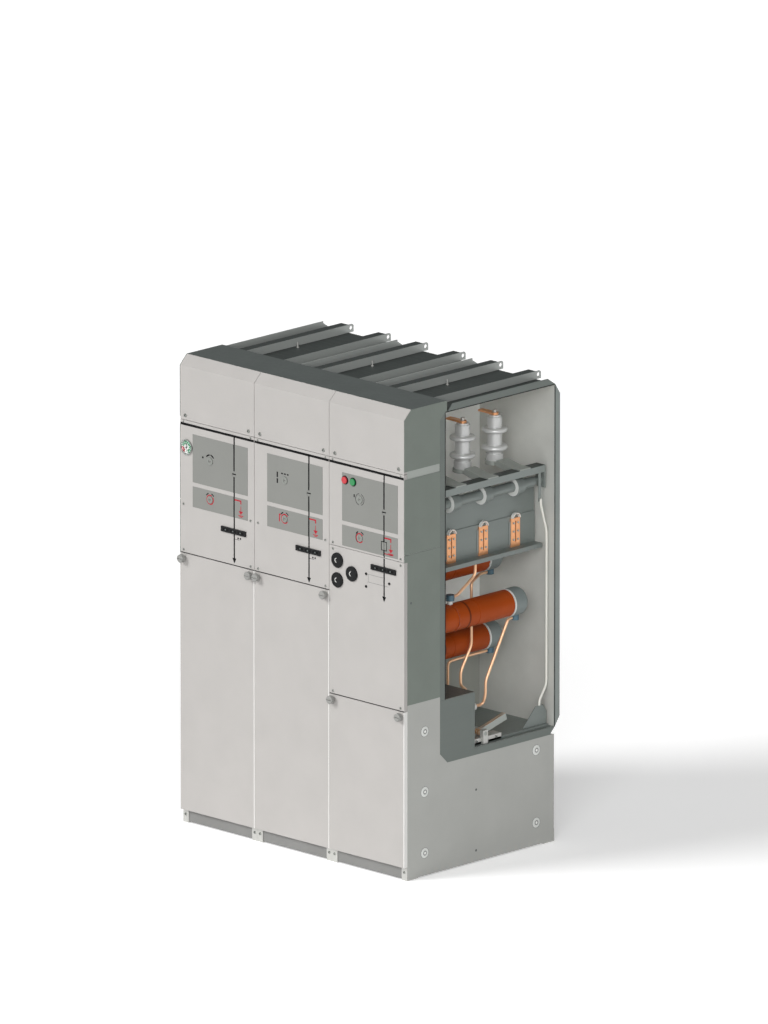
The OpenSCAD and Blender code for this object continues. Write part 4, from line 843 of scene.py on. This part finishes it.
# rubber seal on the inner edge of the open flange
seal = dict(width=0.0035, proud=0.0008)
strips = solidsOf("tank_end_flange")
endX = max(high.x for low, high in strips)
frontIn = min(high.y for low, high in strips)
rearIn = max(low.y for low, high in strips)
topIn = max(low.z for low, high in strips)
floorIn = min(high.z for low, high in strips)
stepIn = max(low.z for low, high in strips if high.y <= frontIn)
rubber = bmesh.new()
for y0, y1, z0, z1 in ((frontIn - seal["width"], frontIn, stepIn, topIn),
                       (rearIn, rearIn + seal["width"], floorIn, topIn),
                       (frontIn, rearIn, topIn, topIn + seal["width"])):
    box(rubber, (endX - seat, y0, z0), (endX + seal["proud"], y1, z1))
makePiece("endSeal", rubber, ["blackMould"], edge=0.0003)
print("seal laid")

# camera: the photograph's view, from far away with a long lens
view = dict(azimuth=44.709, elevation=14.914, distance=100.0, lens=881.2, sensor=36, clipEnd=300,
            target=(0, -0.028, 0.95), shiftRight=0.0854, shiftUp=0.3646)
az, el = math.radians(view["azimuth"]), math.radians(view["elevation"])
back = Vector((math.sin(az) * math.cos(el), -math.cos(az) * math.cos(el), math.sin(el)))
right = Vector((math.cos(az), math.sin(az), 0))
up = back.cross(right)
aim = Vector(view["target"]) + view["shiftRight"] * right + view["shiftUp"] * up
lens = bpy.data.cameras.new("photoCamera")
lens.lens = view["lens"]
lens.sensor_width = view["sensor"]
lens.clip_end = view["clipEnd"]
camera = bpy.data.objects.new("photoCamera", lens)
camera.location = aim + view["distance"] * back
camera.rotation_euler = back.to_track_quat("Z", "Y").to_euler()
scene.collection.objects.link(camera)
scene.camera = camera

# soft studio light: a key from the front left, fills from the front right and the right, and an even surround
suns = dict(key=dict(towards=(-0.41, -0.729, 0.547), strength=2.5, spread=25),
            fill=dict(towards=(0.6, -0.7, 0.38), strength=1.7, spread=35),
            side=dict(towards=(0.93, -0.2, 0.3), strength=0.35, spread=40))
surround = dict(tint=(1, 1, 1, 1), strength=0.18)


def makeSun(name, towards, strength, spread):
    light = bpy.data.lights.new(name, "SUN")
    light.energy = strength
    light.angle = math.radians(spread)
    lamp = bpy.data.objects.new(name, light)
    lamp.rotation_euler = Vector(towards).to_track_quat("Z", "Y").to_euler()
    scene.collection.objects.link(lamp)


for name, sun in suns.items():
    makeSun(name, **sun)
world = bpy.data.worlds.new("studio")
world.use_nodes = True
world.node_tree.nodes["Background"].inputs["Color"].default_value = surround["tint"]
world.node_tree.nodes["Background"].inputs["Strength"].default_value = surround["strength"]
scene.world = world
scene.view_settings.view_transform = "Standard"

# floor: nearly white where it is seen directly or in gloss, and it throws no extra light
floorPlan = dict(size=20, lift=0.3, lightTint=(1, 1, 1, 1))
floorPaint = dict(tint="#FAFAFA", spread=0.004, rough=0.8, roughSpread=0.02, grain=0.05, bump=0.00001)


def whitenFloor(mat):
    tree = mat.node_tree
    shader = tree.nodes["Principled BSDF"]
    shader.inputs["Emission Color"].default_value = floorPlan["lightTint"]
    rays = tree.nodes.new("ShaderNodeLightPath")
    total = rays.outputs["Is Camera Ray"]
    for other in ("Is Glossy Ray", "Is Transmission Ray"):
        either = tree.nodes.new("ShaderNodeMath")
        either.operation = "MAXIMUM"
        tree.links.new(total, either.inputs[0])
        tree.links.new(rays.outputs[other], either.inputs[1])
        total = either.outputs["Value"]
    scaled = tree.nodes.new("ShaderNodeMath")
    scaled.operation = "MULTIPLY"
    scaled.inputs[1].default_value = floorPlan["lift"]
    tree.links.new(total, scaled.inputs[0])
    tree.links.new(scaled.outputs["Value"], shader.inputs["Emission Strength"])


floorForm = bmesh.new()
bmesh.ops.create_grid(floorForm, x_segments=1, y_segments=1, size=floorPlan["size"])
floorMesh = bpy.data.meshes.new("studioFloor")
floorForm.to_mesh(floorMesh)
floorForm.free()
floorMat = makeFinish("floorPale", **floorPaint)
whitenFloor(floorMat)
floorMesh.materials.append(floorMat)
floor = bpy.data.objects.new("studioFloor", floorMesh)
scene.collection.objects.link(floor)
print("studio ready")
